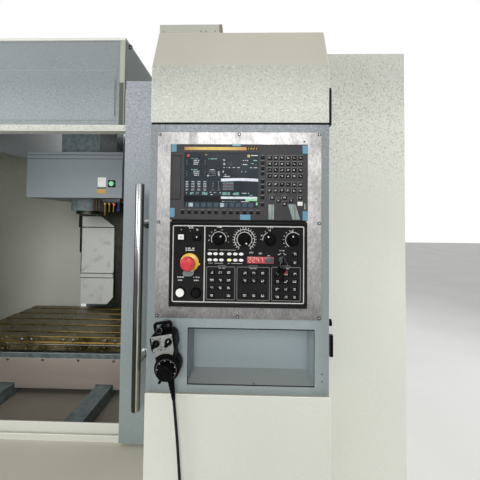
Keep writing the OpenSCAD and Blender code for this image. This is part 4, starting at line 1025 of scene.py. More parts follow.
# A black strip in the gap between display unit and panel: painted shadow
gap_shadow_strip = block(
    "unit_gap_shadow", (panel_low.x + 4, plate_front - 7, panel_high.z - 1),
    (panel_high.x - 4, plate_front + 0.2, display_z + 1), 0)
hand_over(gap_shadow_strip, "rubber", rubber_black)
print("panel face at", round(panel_face, 1))

# %% Outlines and captions
def panel_outline(u0, v0, u1, v1, line, corner):
    """A printed outline between two corners of the panel"""
    (x0, y, z0), (x1, _, z1) = on_panel(u0, v0), on_panel(u1, v1)
    return outline((x0, z0), (x1, z1), y, line, corner)


def panel_bar(u0, v0, u1, v1):
    """A printed line between two corners of the panel"""
    (x0, y, z0), (x1, _, z1) = on_panel(u0, v0), on_panel(u1, v1)
    return bar((x0 + x1) / 2, y, (z0 + z1) / 2, x1 - x0, z1 - z0)


main_lines = [panel_outline(8, 12.1, 390, 234.5, 2.6, 5), panel_bar(100.4, 13, 103, 233.5)]
hand_over(join("panel_outlines", main_lines), "white", print_white)
KEY_BLOCKS = [
    (107.5, 20.1, 191.4, 115.7, (141, 164)), (196.2, 19.6, 291.1, 115.9, (231, 256)),
    (295.8, 19.8, 379.9, 116.7, (325, 350))]
block_lines = []
for u0, v0, u1, v1, (capsule_from, capsule_to) in KEY_BLOCKS:
    block_lines.append(panel_outline(u0, v0, u1, v1, 1.3, 4))
    block_lines.append(panel_outline(capsule_from, v1 - 4, capsule_to, v1 + 4, 1.2, 3.6))
hand_over(join("key_block_outlines", block_lines), "white", print_grey)
captions = []
for u, v, width, height, rows in (
        (60, 229, 16, 9, 2), (33, 222, 3, 5, 1), (79, 222, 6, 6, 2), (58, 218, 3, 6, 1), (59, 165, 26, 11, 2),
        (33, 84, 20, 5, 1), (33, 75, 15, 5, 1), (79, 84, 18, 5, 1), (79, 75, 14, 5, 1), (144, 230, 14, 5, 1),
        (216, 232, 16, 4, 1), (291, 230, 18, 5, 1), (357, 232, 22, 4, 1), (152.5, 111.5, 18, 3.4, 1),
        (243.5, 111.5, 18, 3.4, 1), (337.5, 112.5, 18, 3.4, 1), (238, 157, 12, 5, 2), (264, 155, 10, 5, 2),
        (288, 149, 6, 4, 1), (326, 164, 14, 4, 1), (316, 153, 3, 4, 1), (337, 153, 3, 4, 1)):
    captions += legend(*on_panel(u, v), width, height, rows, 0.75)
for v, u0, u1 in (
        (163.5, 113, 139), (163.5, 146, 192), (125, 113, 126), (125, 131, 156), (125, 170, 176), (125, 180, 212)):
    captions.append(panel_bar(u0, v, u1, v + 0.9))
hand_over(join("panel_captions", captions), "white", print_white)
print(len(captions), "caption strokes")

# %% Membrane keys
def membrane_key(name, width, height):
    """A flat embossed key of a membrane panel"""
    return plate(name, (-width / 2, -1.1, -height / 2), (width / 2, 0.2, height / 2), 1.5, 0.4)


jog_keys = [
    (124 + 24.5 * column, 99 - 22 * row) for row in range(4) for column in range(3) if (row, column) != (3, 1)]
mode_keys = [(220 + 25.5 * column, v) for v in (98.5, 76.5, 34) for column in range(3)]
side_keys = [(313 + 24.7 * column, 97.5 - 22 * row) for row in range(4) for column in range(3)]
lone_keys = [(363.7, 154.8), (363.8, 130)]
all_keys = jog_keys + mode_keys + side_keys + lone_keys
hand_over(copies(
    membrane_key("membrane_keys", 19.5, 15.5), [on_panel(u, v) for u, v in all_keys]), "panel_black", cap_black)
marks = []
for u, v in all_keys:
    marks += legend(*on_panel(u, v, 1.1), chance.uniform(6, 11), 7.5, 2, 0.75)
hand_over(join("membrane_key_legends", marks), "white", print_white)
print(len(all_keys), "membrane keys")

# %% Status lamps and read-out
LAMP_U = (117.2, 133.9, 151.3, 174.0, 191.4, 208.5)
white_lamps = [(u, v) for v in (152.7, 135) for u in LAMP_U if (u, v) != (174.0, 135)]


def oval_lamp(name):
    """An oval lamp lens, domed, with a soft rim"""
    lens = turned(name, [(4.25, -0.3), (4.25, 0.8), (3.9, 1.5), (2.8, 2.0), (0.4, 2.2)], (0, 0, 0), steps=24)
    lens.data.transform(Matrix.Diagonal((1.58, 1, 1, 1)))
    return lens


hand_over(copies(oval_lamp("status_lamps"), [on_panel(u, v) for u, v in white_lamps]), "white", lamp_white)
yellow = oval_lamp("status_lamp_lit")
yellow.data.transform(shift(*on_panel(174.0, 135)))
hand_over(yellow, "white", lamp_yellow)
lamp_marks = []
for u, v in white_lamps:
    lamp_marks += legend(*on_panel(u, v, 2.25), 4.5, 3.0, 1, 0.7)
hand_over(join("status_lamp_legends", lamp_marks), "panel_black", cap_rim)

readout = plate("readout", on_panel(225.5, 126.5, 1.2), on_panel(302.5, 145.5), 1.5, 0.4)
hand_over(readout, "screen", plastic("readout_filter_red", "#C2494F", "#8E3A40", 0.22, grain_mm=2.5, glow=0.2))
readout_end = plate("readout_end", on_panel(277, 128, 1.5), on_panel(301, 144, 1), 1.2, 0.2)
hand_over(readout_end, "screen", plastic("readout_filter_grey", "#5E5F63", "#47484C", 0.25, grain_mm=2.5))
DIGIT = [
    (0, 6, 5, 1.3), (0, 0, 5, 1.3), (0, -6, 5, 1.3), (-3, 3, 1.3, 5), (3, 3, 1.3, 5), (-3, -3, 1.3, 5),
    (3, -3, 1.3, 5)]
SHOWN_SEGMENTS = [(0, 1, 2, 4, 5), (0, 1, 2, 4, 5), (0, 1, 3, 4, 6), (0, 4, 6)]
segments = []
for place, lit_ones in enumerate(SHOWN_SEGMENTS):
    for number in lit_ones:
        du, dv, width, height = DIGIT[number]
        segments.append(bar(*on_panel(233.5 + 11.4 * place + du, 136 + dv, 1.2), width, height))
hand_over(join("readout_digits", segments), "screen", lit("lit_digit_rose", "#F0B0A8", 0.35))
print(len(white_lamps) + 1, "lamps and", len(SHOWN_SEGMENTS), "digits")

# %% [markdown]
# ## Rotary switches
# Four black knobs set the mode, the feed, the rapid rate and the spindle speed: moulded nylon with a wide
# skirt, a fluted grip and a white dot. Each is turned from one profile, and its grip vertices are pulled in
# to make the flutes. Their scales are printed on the panel.

# %% Knobs
KNOBS = {"mode_knob": 52, "feed_knob": -62, "rapid_knob": 128, "speed_knob": 108}
KNOB_R, KNOB_RISE, FLUTES = 17, 22, 10


def centre_of(node):
    """The middle of a CAD part as seen from the front: x and z in mm"""
    low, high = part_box(node)
    return (low.x + high.x) * 500, (low.z + high.z) * 500


def fluted_knob(name, radius, rise):
    """A knob on the plane y = 0: a skirt, a fluted grip that narrows a little, and a softened top"""
    knob = turned(name, [
        (radius, 0), (radius, 1.6), (radius - 1.2, 2.6), (radius * 0.86, 3.2), (radius * 0.85, rise * 0.5),
        (radius * 0.83, rise - 2.0), (radius * 0.78, rise - 0.7), (radius * 0.66, rise),
        (radius * 0.3, rise - 0.4)], (0, 0, 0), steps=FLUTES * 6)
    for vertex in knob.data.vertices:
        reach = hypot(vertex.co.x, vertex.co.z)
        if -mm(rise) * 1.01 < vertex.co.y < -mm(2.9) and reach > mm(radius * 0.7):
            angle = atan2(vertex.co.z, vertex.co.x)
            pull = 1 - 0.07 * max(0, cos(FLUTES * angle)) ** 2
            vertex.co.x *= pull
            vertex.co.z *= pull
    return knob


for node, pointer in KNOBS.items():
    x, z = centre_of(node)
    knob = fluted_knob(node + "_grip", KNOB_R, KNOB_RISE)
    knob.data.transform(shift(x, panel_face, z))
    hand_over(knob, "knob_black", nylon_black, [node], node)
    turn = radians(pointer)
    dot = bar(x + 11.6 * cos(turn), panel_face - KNOB_RISE + 0.3, z + 11.6 * sin(turn), 4.6, 3.4, 0.5, turn)
    dot.name = node + "_dot"
    hand_over(dot, "white", button_white, body=node)
print(len(KNOBS), "knobs")

# %% Scales round the knobs
scales = []
x, z = centre_of("mode_knob")
scales += arc_line(x, panel_face, z, 21.5, 1.7, -18, 205)
for angle in (188, 160, 135, 112, 70, 44, 18, -14):
    a = radians(angle)
    scales += legend(x + 28.5 * cos(a), panel_face, z + 28 * sin(a), 5, 4.5, 2, 0.6)
x, z = centre_of("feed_knob")
scales += arc_line(x, panel_face, z, 21.5, 1.7, -58, 238) + arc_line(x, panel_face, z, 29, 1.5, -58, 238)
scales += ticks(x, panel_face, z, 32.6, 4.6, 1.2, range(-56, 240, 14))
scales += ticks(x, panel_face, z, 25.2, 5.5, 0.8, range(-49, 240, 28))
x, z = centre_of("rapid_knob")
scales += arc_line(x, panel_face, z, 22, 1.7, 112, 184)
scales += ticks(x, panel_face, z, 27, 4.5, 1.2, (122, 150, 178))
scales += legend(x - 3, panel_face, z + 27.5, 8, 6, 2, 0.8) + legend(x - 26, panel_face, z + 11, 4, 3.5, 1)
x, z = centre_of("speed_knob")
scales += arc_line(x, panel_face, z, 22, 1.7, 42, 238)
scales += ticks(x, panel_face, z, 28.5, 4.4, 1.2, (92, 112, 134, 156, 178, 200, 222))
scales += legend(x - 4, panel_face, z + 25, 9, 5, 2, 0.8)
x, z = centre_of("key_switch")
scales += arc_line(x, panel_face, z + 10, 9, 1.1, 20, 70) + arc_line(x, panel_face, z + 10, 9, 1.1, 110, 160)
hand_over(join("knob_scales", scales), "white", print_white)
print("scales of", len(scales), "strokes")

# %% [markdown]
# ## Stop button
# The stop button is a red mushroom 41 mm wide on a yellow collar, and a thin clear guard hangs from the
# collar. The turning arrows on its head are shallow, darker arcs.

# %% Stop button
x, z = centre_of("stop_button")
collar = turned("stop_collar", [
    (26.8, -0.2), (26.8, 4.2), (25.8, 5.2), (21.5, 6.2), (15.5, 7.4), (14.4, 6.4)], (x, panel_face, z), steps=56)
tab = block("tab", (x + 24.5, panel_face - 4.6, z - 8), (x + 30.5, panel_face, z - 2), 1.2)
hand_over(join("stop_collar", [collar, tab]), "red", collar_yellow)
head = turned("stop_head", [
    (11, 6.6), (11, 20), (14.5, 22.5), (19.6, 25.5), (20.5, 28), (20.5, 33), (19.6, 36.4), (17.0, 39.0),
    (12.5, 40.4), (6.0, 41.0), (0.5, 41.0)], (x, panel_face, z), steps=56)
hand_over(head, "red", button_red, ["stop_button"], "stop_button")
arrows = []
for start in (35, 155, 275):
    arrows += arc_line(x, panel_face - 40.15, z, 12.8, 1.9, start, start + 62)
    tip = radians(start + 68)
    arrows.append(bar(x + 12.8 * cos(tip), panel_face - 40.15, z + 12.8 * sin(tip), 4.2, 4.2, 0.3, tip))
hand_over(
    join("stop_arrows", arrows), "red", plastic("moulded_abs_red_dark", "#B02430", "#A11F2A", 0.3),
    body="stop_button")
flap = plate("stop_guard", (x - 15, panel_face - 24, z - 36), (x + 13, panel_face - 23, z - 21.5), 4, 0.3)
choose(flap, "FACE", lambda face: face.normal.x > 0.9)
bpy.ops.transform.translate(value=mm(4, 0, 5))
pick(flap)
hinge = block("hinge", (x - 7, panel_face - 23.4, z - 26), (x + 5, panel_face, z - 22), 0.8)
hand_over(join("stop_guard", [flap, hinge]), "window", clear_pane("clear_guard_pvc", "#8D9496", 0.45))
print("stop button 41 mm wide on a 54 mm collar")

# %% [markdown]
# ## Push buttons
# Two square buttons switch the control on and off and two round ones start and hold the program. Each has a
# black collar moulded into the panel's frame, and a glossy cap that travels inside it.

# %% Square and round buttons
SQUARE_MARK = {
    "power_on_button": (button_white, "white", cap_black), "power_off_button": (cap_black, "knob_black", cap_white)}
for node, (material, slot_name, mark_material) in SQUARE_MARK.items():
    x, z = centre_of(node)
    surround = plate(
        node + "_surround", (x - 12, panel_face - 2.6, z - 11), (x + 12, panel_face + 0.2, z + 11), 2.5, 0.6)
    hand_over(surround, "knob_black", nylon_black)
    button = plate(
        node + "_cap", (x - 8.5, panel_face - 6, z - 7.5), (x + 8.5, panel_face - 2.7, z + 7.5), 1.6, 0.9)
    hand_over(button, slot_name, material, [node], node)
    mark = bar(x, panel_face - 6, z, 3.2, 3.6, 0.25)
    mark.name = node + "_mark"
    hand_over(mark, slot_name, mark_material, body=node)
ROUND_FINISH = {"start_button": (lamp_white, "white"), "hold_button": (cap_black, "knob_black")}
for node, (material, slot_name) in ROUND_FINISH.items():
    x, z = centre_of(node)
    ring = turned(node + "_collar", [
        (15.2, -0.2), (15.2, 4.4), (14.5, 5.4), (13.4, 5.4), (12.5, 3.4), (12.4, 1.0)], (x, panel_face, z))
    hand_over(ring, "knob_black", nylon_black)
    button = turned(node + "_cap", [(12, 1.3), (12, 5.6), (11.2, 6.6), (8.5, 6.3), (0.5, 6.0)], (x, panel_face, z))
    hand_over(button, slot_name, material, [node], node)
print("four push buttons")

# %% [markdown]
# ## Key switch
# The edit lock is a plated barrel with a key in it. The eye of the key's bow is on the lock's own axis, so the
# split ring with two more keys and a red tag hangs still while the key turns.

# %% Lock, key and hanging keys
x, z = centre_of("key_switch")
key_nickel = steel("nickel_plated_worn", "#8D9092", "#3E4042", 0.34, smear_mm=4, smear=0.5)
barrel = turned("lock_barrel", [
    (9.4, -0.2), (9.4, 2.2), (8.6, 3.2), (8, 3.4), (8, 9), (7.2, 9.8), (3, 9.8)], (x, panel_face, z))
blade = block("blade", (x - 1.1, panel_face - 24, z - 3.6), (x + 1.1, panel_face - 9, z + 3.6), 0.3)
hand_over(join("lock_and_blade", [barrel, blade]), "steel", key_nickel, ["key_switch"], "key_switch")
bow = plate("key_bow", (x - 1.6, panel_face - 45.5, z - 10.5), (x + 1.6, panel_face - 23, z + 10.5), 6, 0.8, axis=0)
eye = turned("eye", [(2.6, -5), (2.6, 5)], (x, panel_face - 39, z), "right", 20)
hand_over(cut(bow, eye), "steel", nylon_black, body="key_switch")


def split_ring(name, place, radius, wire, toward):
    """A split ring: a torus of spring wire, slightly twisted so that its two turns show"""
    pick()
    bpy.ops.mesh.primitive_torus_add(
        major_radius=mm(radius), minor_radius=mm(wire), major_segments=40, minor_segments=10)
    ring = settle(name)
    twin = copies(ring, [(0, 0, -wire * 0.9), (0, 0, wire * 0.9)], name)
    twin.data.transform(shift(*place) @ TOWARD[toward])
    return twin


ring = split_ring("key_ring", (x, panel_face - 39, z - 9.5), 10, 0.8, "front")
hand_over(ring, "steel", key_nickel)


def hanging_key(name, place, lean):
    """A spare key: a round bow with an eye, and a notched blade, hung from its eye and leaned"""
    head = turned(name, [(8, 0), (8, 2)], (0, 0, 0), steps=28)
    head = cut(head, turned("eye", [(2.2, -2), (2.2, 4)], (0, 0, 5), steps=16))
    stem = block("stem", (-2.6, -2, -30), (2.6, 0, -6), 0.2)
    notches = [block("notch", (1.4, -4, -27 + 4.5 * n), (4, 2, -25 + 4.5 * n), 0) for n in range(4)]
    key = join(name, [head, cut(stem, *notches)])
    key.data.transform(shift(*place) @ Matrix.Rotation(radians(lean), 4, "Y") @ shift(0, 0, -5))
    return key


spares = [
    hanging_key("spare_key", (x - 7, panel_face - 37.4, z - 16), 30),
    hanging_key("spare_key_b", (x - 1, panel_face - 40.6, z - 18), 6)]
hand_over(join("spare_keys", spares), "knob_black", nylon_black)
tag = turned("key_tag", [(5.6, 0), (6, 0.5), (6, 2.2), (5.6, 2.7), (3, 2.7)], (x + 5, panel_face - 39.5, z - 29))
hand_over(tag, "red", plastic("moulded_abs_tag_red", "#8E2A33", "#7A2029", 0.3, coat=0.2))
loop = block("tag_loop", (x + 4, panel_face - 40.6, z - 25), (x + 5.5, panel_face - 39.6, z - 16), 0.3)
fob = plate("key_fob", (x - 7, panel_face - 42.6, z - 54), (x + 1, panel_face - 40.6, z - 38), 3, 0.5)
hand_over(join("key_fob", [fob, loop]), "knob_black", nylon_black)
print("key switch with", len(spares), "spare keys")

# %% [markdown]
# ## The hand pendant
# The handwheel pendant is a black moulded housing 50 mm deep: a round lower half for the wheel, a waist,
# shoulders and a top that slopes back to a loop. It hangs by that loop on the station's hook and leans to
# the left. It is modelled upright and leaned at the end, by the same angle as in the CAD source.

# %% Place and outline
PENDANT_LEAN = radians(9.5)
PENDANT_AT = (station_low.x * 1000 + 70, 0, 1080)
PENDANT_DEPTH = 50
HANG_GAP = 12
DIAL_Z, HOUSING_R = -36, 35
plate_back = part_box("mounting_plate")[1].y * 1000
pendant_front = plate_back - HANG_GAP - PENDANT_DEPTH
pendant_mid = pendant_front + PENDANT_DEPTH / 2
hung = shift(*PENDANT_AT) @ Matrix.Rotation(-PENDANT_LEAN, 4, "Y")


def hang(obj):
    """Leans a piece that was modelled upright and moves it to the pendant's place"""
    obj.data.transform(hung)
    return obj


def outline_plate(name, points, y0, y1, edge=0.0):
    """A plate with any outline: a disc whose rim is pulled to the points, given in mm, and extruded back"""
    pick()
    bpy.ops.mesh.primitive_circle_add(vertices=len(points), radius=1, fill_type="NGON")
    obj = settle(name)
    for vertex, (x, z) in zip(obj.data.vertices, points):
        vertex.co = mm(x, y1, z)
    bpy.ops.object.mode_set(mode="EDIT")
    bpy.ops.mesh.extrude_region_move(TRANSFORM_OT_translate={"value": (0, mm(y0 - y1), 0)})
    bpy.ops.mesh.select_all(action="SELECT")
    bpy.ops.mesh.normals_make_consistent(inside=False)
    pick(obj)
    if edge:
        ease(obj, edge, 3)
    return obj


print("pendant front at", round(pendant_front, 1))

# %% Housing, loop and boot
half, top = HOUSING_R, DIAL_Z - HOUSING_R + 131
housing = turned("housing", [
    (HOUSING_R - 5, 0), (HOUSING_R - 1.5, 1.5), (HOUSING_R, 5), (HOUSING_R, 45), (HOUSING_R - 1.5, 48.5),
    (HOUSING_R - 5, 50)], (0, pendant_front, DIAL_Z), "back", 64)
shoulders = outline_plate("shoulders", [
    (-half + 9, DIAL_Z + 20), (-half + 9, 4), (-half + 1, 20), (-half + 1, top - 10), (-half + 9, top),
    (half - 9, top), (half - 1, top - 10), (half - 1, 20), (half - 9, 4), (half - 9, DIAL_Z + 20)],
    pendant_front, pendant_front + PENDANT_DEPTH, 3.5)
slope = block("slope", (-60, -20, 0), (60, 0, 60), 0)
slope.data.transform(shift(0, pendant_front, top - 2) @ Matrix.Rotation(radians(-32), 4, "X"))
shoulders = cut(shoulders, slope)
loop = plate("loop", (-26, pendant_mid - 5, top - 4), (26, pendant_mid + 5, top + 26), 9, 0)
window = plate("window", (-19, pendant_mid - 9, top + 8), (19, pendant_mid + 9, top + 19), 5, 0)
loop = ease(cut(loop, window), 2, 3, 50)
BOOT_RINGS = 5
boot_profile = [(9.8, 0), (9.8, 6)]
for ring_number in range(BOOT_RINGS):
    start, radius = 8 + 9.5 * ring_number, 9.4 - 0.85 * ring_number
    boot_profile += [
        (radius - 1.5, start), (radius - 1.5, start + 2), (radius, start + 3), (radius - 0.3, start + 8)]
boot_profile += [(5.2, 57), (5.0, 62), (4.6, 62)]
boot = turned("boot", boot_profile, (0, pendant_mid, DIAL_Z - HOUSING_R + 3), "down", 32)
peg = turned("peg", [(4, 20), (4, 43), (3.2, 46), (1.5, 46.4)], (0, 0, 0), "up", 24)
peg.data.transform(shift(0, pendant_front + 7, DIAL_Z) @ Matrix.Rotation(radians(217), 4, "Y"))
hand_over(
    hang(join("pendant_housing", [housing, shoulders, loop, boot, peg])), "knob_black", nylon_black,
    ["pendant_body"])
print("pendant housing 70 mm wide and 131 mm tall")

# %% Face plate, dial ring and its marks
half_plate = 28.5
arc_points = []
for step in range(13):
    angle = radians(57 + (123 - 57) * step / 12)
    arc_points.append((43 * cos(angle), DIAL_Z + 43 * sin(angle)))
face = outline_plate("pendant_face", [(-half_plate, top - 4), (-half_plate, 14), (-23.5, 1.5)]
                     + arc_points[::-1] + [(23.5, 1.5), (half_plate, 14), (half_plate, top - 4)],
                     pendant_front - 1, pendant_front + 0.3, 0.3)
dial = turned("pendant_dial", [(29, -0.2), (29, 1.4), (28.4, 2), (22, 2)], (0, pendant_front, DIAL_Z), "front", 64)
hand_over(hang(face), "steel", steel("anodised_face_plate", "#A9ABA7", "#8F918D", 0.45, smear_mm=12))
hand_over(hang(dial), "knob_black", nylon_black)
dial_marks = []
for angle in range(-30, 211, 40):
    a = radians(angle)
    dial_marks.append(bar(24.6 * cos(a), pendant_front - 2, DIAL_Z + 24.6 * sin(a), 2.2, 2.2, 0.3, a))
hand_over(hang(join("pendant_dial_marks", dial_marks)), "white", print_white)
rim = join("pendant_dial_rim", arc_line(0, pendant_front - 2, DIAL_Z, 27.6, 0.7, -55, 205))
hand_over(hang(rim), "white", print_grey)
KNOB_X, KNOB_Z = 17, 37
face_marks = []
for x, z, width, height, rows in (
        (-24, 50, 7, 4, 1), (-12, 52.5, 7, 3, 1), (-27, 43, 3, 4, 1), (-4, 49, 5, 5, 2), (8, 50, 5, 3, 1),
        (26, 49, 6, 4, 1), (17, 53, 9, 3, 1), (4, 44, 4, 3, 1), (-2, 26, 12, 2.4, 1), (-4, 19, 22, 5, 2),
        (20, 25, 9, 2.4, 1), (-25, 14, 5, 2, 1), (24, 12, 4, 2, 1)):
    face_marks += legend(x, pendant_front - 1, z, width, height, rows, 0.7)
hand_over(hang(join("pendant_face_marks", face_marks)), "knob_black", cap_black)
print(len(dial_marks) + len(face_marks), "pendant marks")

# %% Handwheel and selector knobs
wheel = turned("handwheel", [
    (10, 0.3), (10, 3), (19.4, 3.4), (20.6, 5), (21, 7.5), (20.4, 12), (20.2, 21), (19.4, 23.4), (18, 24.2),
    (14.4, 24.4), (13.2, 25.4), (12.8, 26.8), (11, 27), (2, 26.6)], (0, pendant_front, DIAL_Z), "front", 72)
for vertex in wheel.data.vertices:
    angle = atan2(vertex.co.z - mm(DIAL_Z), vertex.co.x)
    reach = hypot(vertex.co.z - mm(DIAL_Z), vertex.co.x)
    if reach > mm(19.5):
        pull = 1 - 0.025 * (0.5 + 0.5 * cos(24 * angle))
        vertex.co.x *= pull
        vertex.co.z = mm(DIAL_Z) + (vertex.co.z - mm(DIAL_Z)) * pull
hand_over(hang(wheel), "knob_black", nylon_black, ["pendant_wheel"], "pendant_wheel")
POINTER_TURN = {"pendant_axis_knob": (-1, 40), "pendant_rate_knob": (1, 56)}
for node, (side, turn) in POINTER_TURN.items():
    skirt = turned("skirt", [
        (10, 1.3), (10, 3), (9, 4.2), (7.6, 5), (7.2, 13), (6.6, 14), (2, 14)], (0, 0, 0), "front", 36)
    grip = plate("grip", (-11, -16, -5), (11, -4, 5), 4.6, 1.2)
    knob = join(node + "_grip", [skirt, grip])
    line = bar(7.2, -16, 0, 5.6, 1.5, 0.3)
    for piece in (knob, line):
        piece.data.transform(shift(side * KNOB_X, pendant_front, KNOB_Z) @ Matrix.Rotation(-radians(turn), 4, "Y"))
    line.name = node + "_pointer"
    hand_over(hang(knob), "knob_black", nylon_black, [node], node)
    hand_over(hang(line), "white", button_white if side > 0 else bezel_abs, body=node)
print("handwheel and two selector knobs")

# %% [markdown]
# ## Folded sheet metal
# Doors, covers and cabinets are 3 mm steel sheet, cut flat, folded and coated. Each fold has a small radius
# that catches a pale line of light. The CAD solids have sharp edges, so each one is copied: its loose
# triangles are merged, flat ones are joined to whole faces, and a bevel limited by angle rounds the folds
# and gives its new faces a paler finish: partly the thinner, worn coat on an edge, partly a painted
# highlight of that line of light.

# %% Rounded folds with a pale edge
SLOT_OF = {part["node"]: part["material_slot"] for part in frame["record"]["subparts"]}
# Paler copies of the coats for the fold faces: partly wear, partly painted highlight
grey_edge = powder_coat("powder_coat_grey_edge", "#A3AAAC", "#8F9698", "#B9BFC1", upward_tone="#AEB4B1", strength=0.3)
cream_edge = powder_coat("powder_coat_cream_edge", "#E9EAE1", "#DCDDD4", "#F4F4EE", upward_tone="#F3F3EA", strength=0.3)


def softened(node, edge=1.4, body="frame", coat=None, fold_coat=None):
    """A copy of a folded CAD part with its edges rounded, which replaces the part"""
    sheet = link(bpy.data.objects.new(node + "_folded", frame["nodes"][node].data.copy()))
    slot = SLOT_OF[node]
    fold_coat = fold_coat or (cream_edge if slot == "cream" else grey_edge)
    paint(sheet, coat or FINISHES[slot]).data.materials.append(fold_coat)
    for face in sheet.data.polygons:
        face.material_index = 0
    choose(sheet, "FACE", lambda face: True)
    bpy.ops.mesh.remove_doubles(threshold=mm(0.01))
    bpy.ops.mesh.dissolve_limited(angle_limit=radians(0.5))
    shape(sheet, "BEVEL", width=mm(edge), segments=2, material=1, limit_method="ANGLE", angle_limit=radians(40))
    return hand_over(sheet, slot, None, [node], body=body, smooth=20)


def recolour(obj, material, test):
    """Gives the faces whose middle in mm passes the test a finish of their own"""
    obj.data.materials.append(material)
    for face in obj.data.polygons:
        if test(face.center * 1000) and face.material_index != 1:
            face.material_index = len(obj.data.materials) - 1
    return obj


COATS = {
    "control_cabinet": station_coat, "cabinet_hood": None, "upper_front_cover": raised_coat, "header_beam": None,
    "lower_front_cover": None, "left_side_cover": wall_coat, "right_side_cover": wall_coat, "rear_cover": wall_coat,
    "electrical_cabinet": None, "cable_duct": None}
folded = {name: softened(name, coat=coat) for name, coat in COATS.items()}
for name, edge in (("right_door", 2.2), ("left_door", 2.2), ("side_door", 0.9), ("electrical_door", 2.0)):
    folded[name] = softened(name, edge, name)
for name, sheet in folded.items():
    print(name, len(sheet.data.polygons), "faces")

# %% [markdown]
# The CAD draws some parts in one piece with the sheet: the hook for the pendant, with its zinc tab and black
# peg, and the pull and lock of the side door. They get finishes of their own.

# %% Hook, pull, lock and shelf
cabinet = folded["control_cabinet"]
# Inside the recess: a lighter copy of the coat, painted light, and on its left wall a darker copy, painted shade
recolour(cabinet, shelf_coat, lambda p: all(a < b < c for a, b, c in zip((587, -1075, 968), p, (962, -962, 1139))))
shade_coat = powder_coat("powder_coat_grey_shade", "#858C90", "#7A8185", "#8F969A", upward_tone="#8F938E", strength=0.2)
recolour(cabinet, shade_coat, lambda p: p.x < 596 and -1070 < p.y < -964 and 972 < p.z < 1136)
recolour(cabinet, zinc_steel, lambda p: -1084.6 < p.y < -1076.4)
recolour(cabinet, nylon_black, lambda p: p.y < -1084.6)
recolour(folded["side_door"], nylon_black, lambda p: p.x > 1001.4 and p.y < -1000)
recolour(folded["upper_front_cover"], cream_edge, lambda p: p.z > 2107)
# A black ring just inside the recess opening: partly sealant, partly painted shadow in the gap
shelf_seal_and_shadow = plate("shelf_seal_and_shadow", (589, -1073, 970), (960, -1071, 1137), 2, 0)
shelf_seal_and_shadow = cut(shelf_seal_and_shadow, plate("hole", (591.2, -1080, 972.6), (957.6, -1060, 1131.8), 1.5, 0))
hand_over(shelf_seal_and_shadow, "rubber", rubber_black)
print("hook, pull and shelf finished")

# %% [markdown]
# ## Screws
# The plate is held by blackened pan-head screws. Their cross slot gets a bright zinc finish, a painted glint.
# One is turned, its cross is cut out, and it is copied to the eight holes. Covers elsewhere use low button
# heads with a socket.

# %% Plate screws and cover screws
pan = turned("pan_head", [(5, 0), (5, 0.7), (4.2, 1.7), (2.6, 2.4), (1.2, 2.5)], (0, 0, 0), "front", 24)
pan = cut(
    pan, block("slot", (-3.2, -3, -0.8), (3.2, -1.3, 0.8), 0), block("slot", (-0.8, -3, -3.2), (0.8, -1.3, 3.2), 0))
hole_low, hole_high = box_mm("plate_screws")
left, right = hole_low.x + 5, hole_high.x - 5
foot, head = hole_low.z + 5, hole_high.z - 5
holes = [(x, z) for x in (left, right) for z in (foot, foot + 273, head)]
holes += [((left + right) / 2, foot), ((left + right) / 2, head)]
screw_metal = steel("screw_steel_worn", "#B9BBBC", "#6E7072", 0.3, smear_mm=3, smear=0.4)
screw_dark = steel("screw_steel_blackened", "#5C5F5E", "#1E201F", 0.34, smear_mm=3, smear=0.5)
paint(pan, screw_dark).data.materials.append(zinc_steel)
# The slot faces get bright zinc: a painted glint on the dark head
for face in pan.data.polygons:
    if hypot(face.center.x, face.center.z) < mm(3) and -mm(2.3) < face.center.y < -mm(1.25):
        face.material_index = 1
hand_over(copies(pan, [(x, plate_front, z) for x, z in holes], "plate_pan_heads"), "steel", None, ["plate_screws"])
# A flat black disc stands for the open hole: painted shade
spare_hole = turned("spare_hole", [(2.4, -0.1), (2.3, 0.2)], (926.4, plate_front, 1682.8), steps=16)
hand_over(spare_hole, "rubber", rubber_black)


def button_heads(name, places, toward, body="frame", size=7):
    """Low button-head screws with a hexagon socket, at places in mm on a face that looks toward a side"""
    profile = [(size * out, size * up) for out, up in (
        (1, 0), (1, 0.2), (0.7, 0.5), (0.38, 0.55), (0.36, 0.2), (0.1, 0.18))]
    heads = [turned("head", profile, place, toward, 12) for place in places]
    return hand_over(join(name, heads), "steel", screw_metal, body=body)


print(len(holes), "plate screws")

# %% [markdown]
# ## Door handles
# Each door has a polished stainless tube on two posts. It mirrors its surroundings in long bands: the bright
# hall above, and the dark green floor and doors below. A white studio has nothing dark to mirror, so the
# bands are worked into the finish by the direction of the surface and the height.

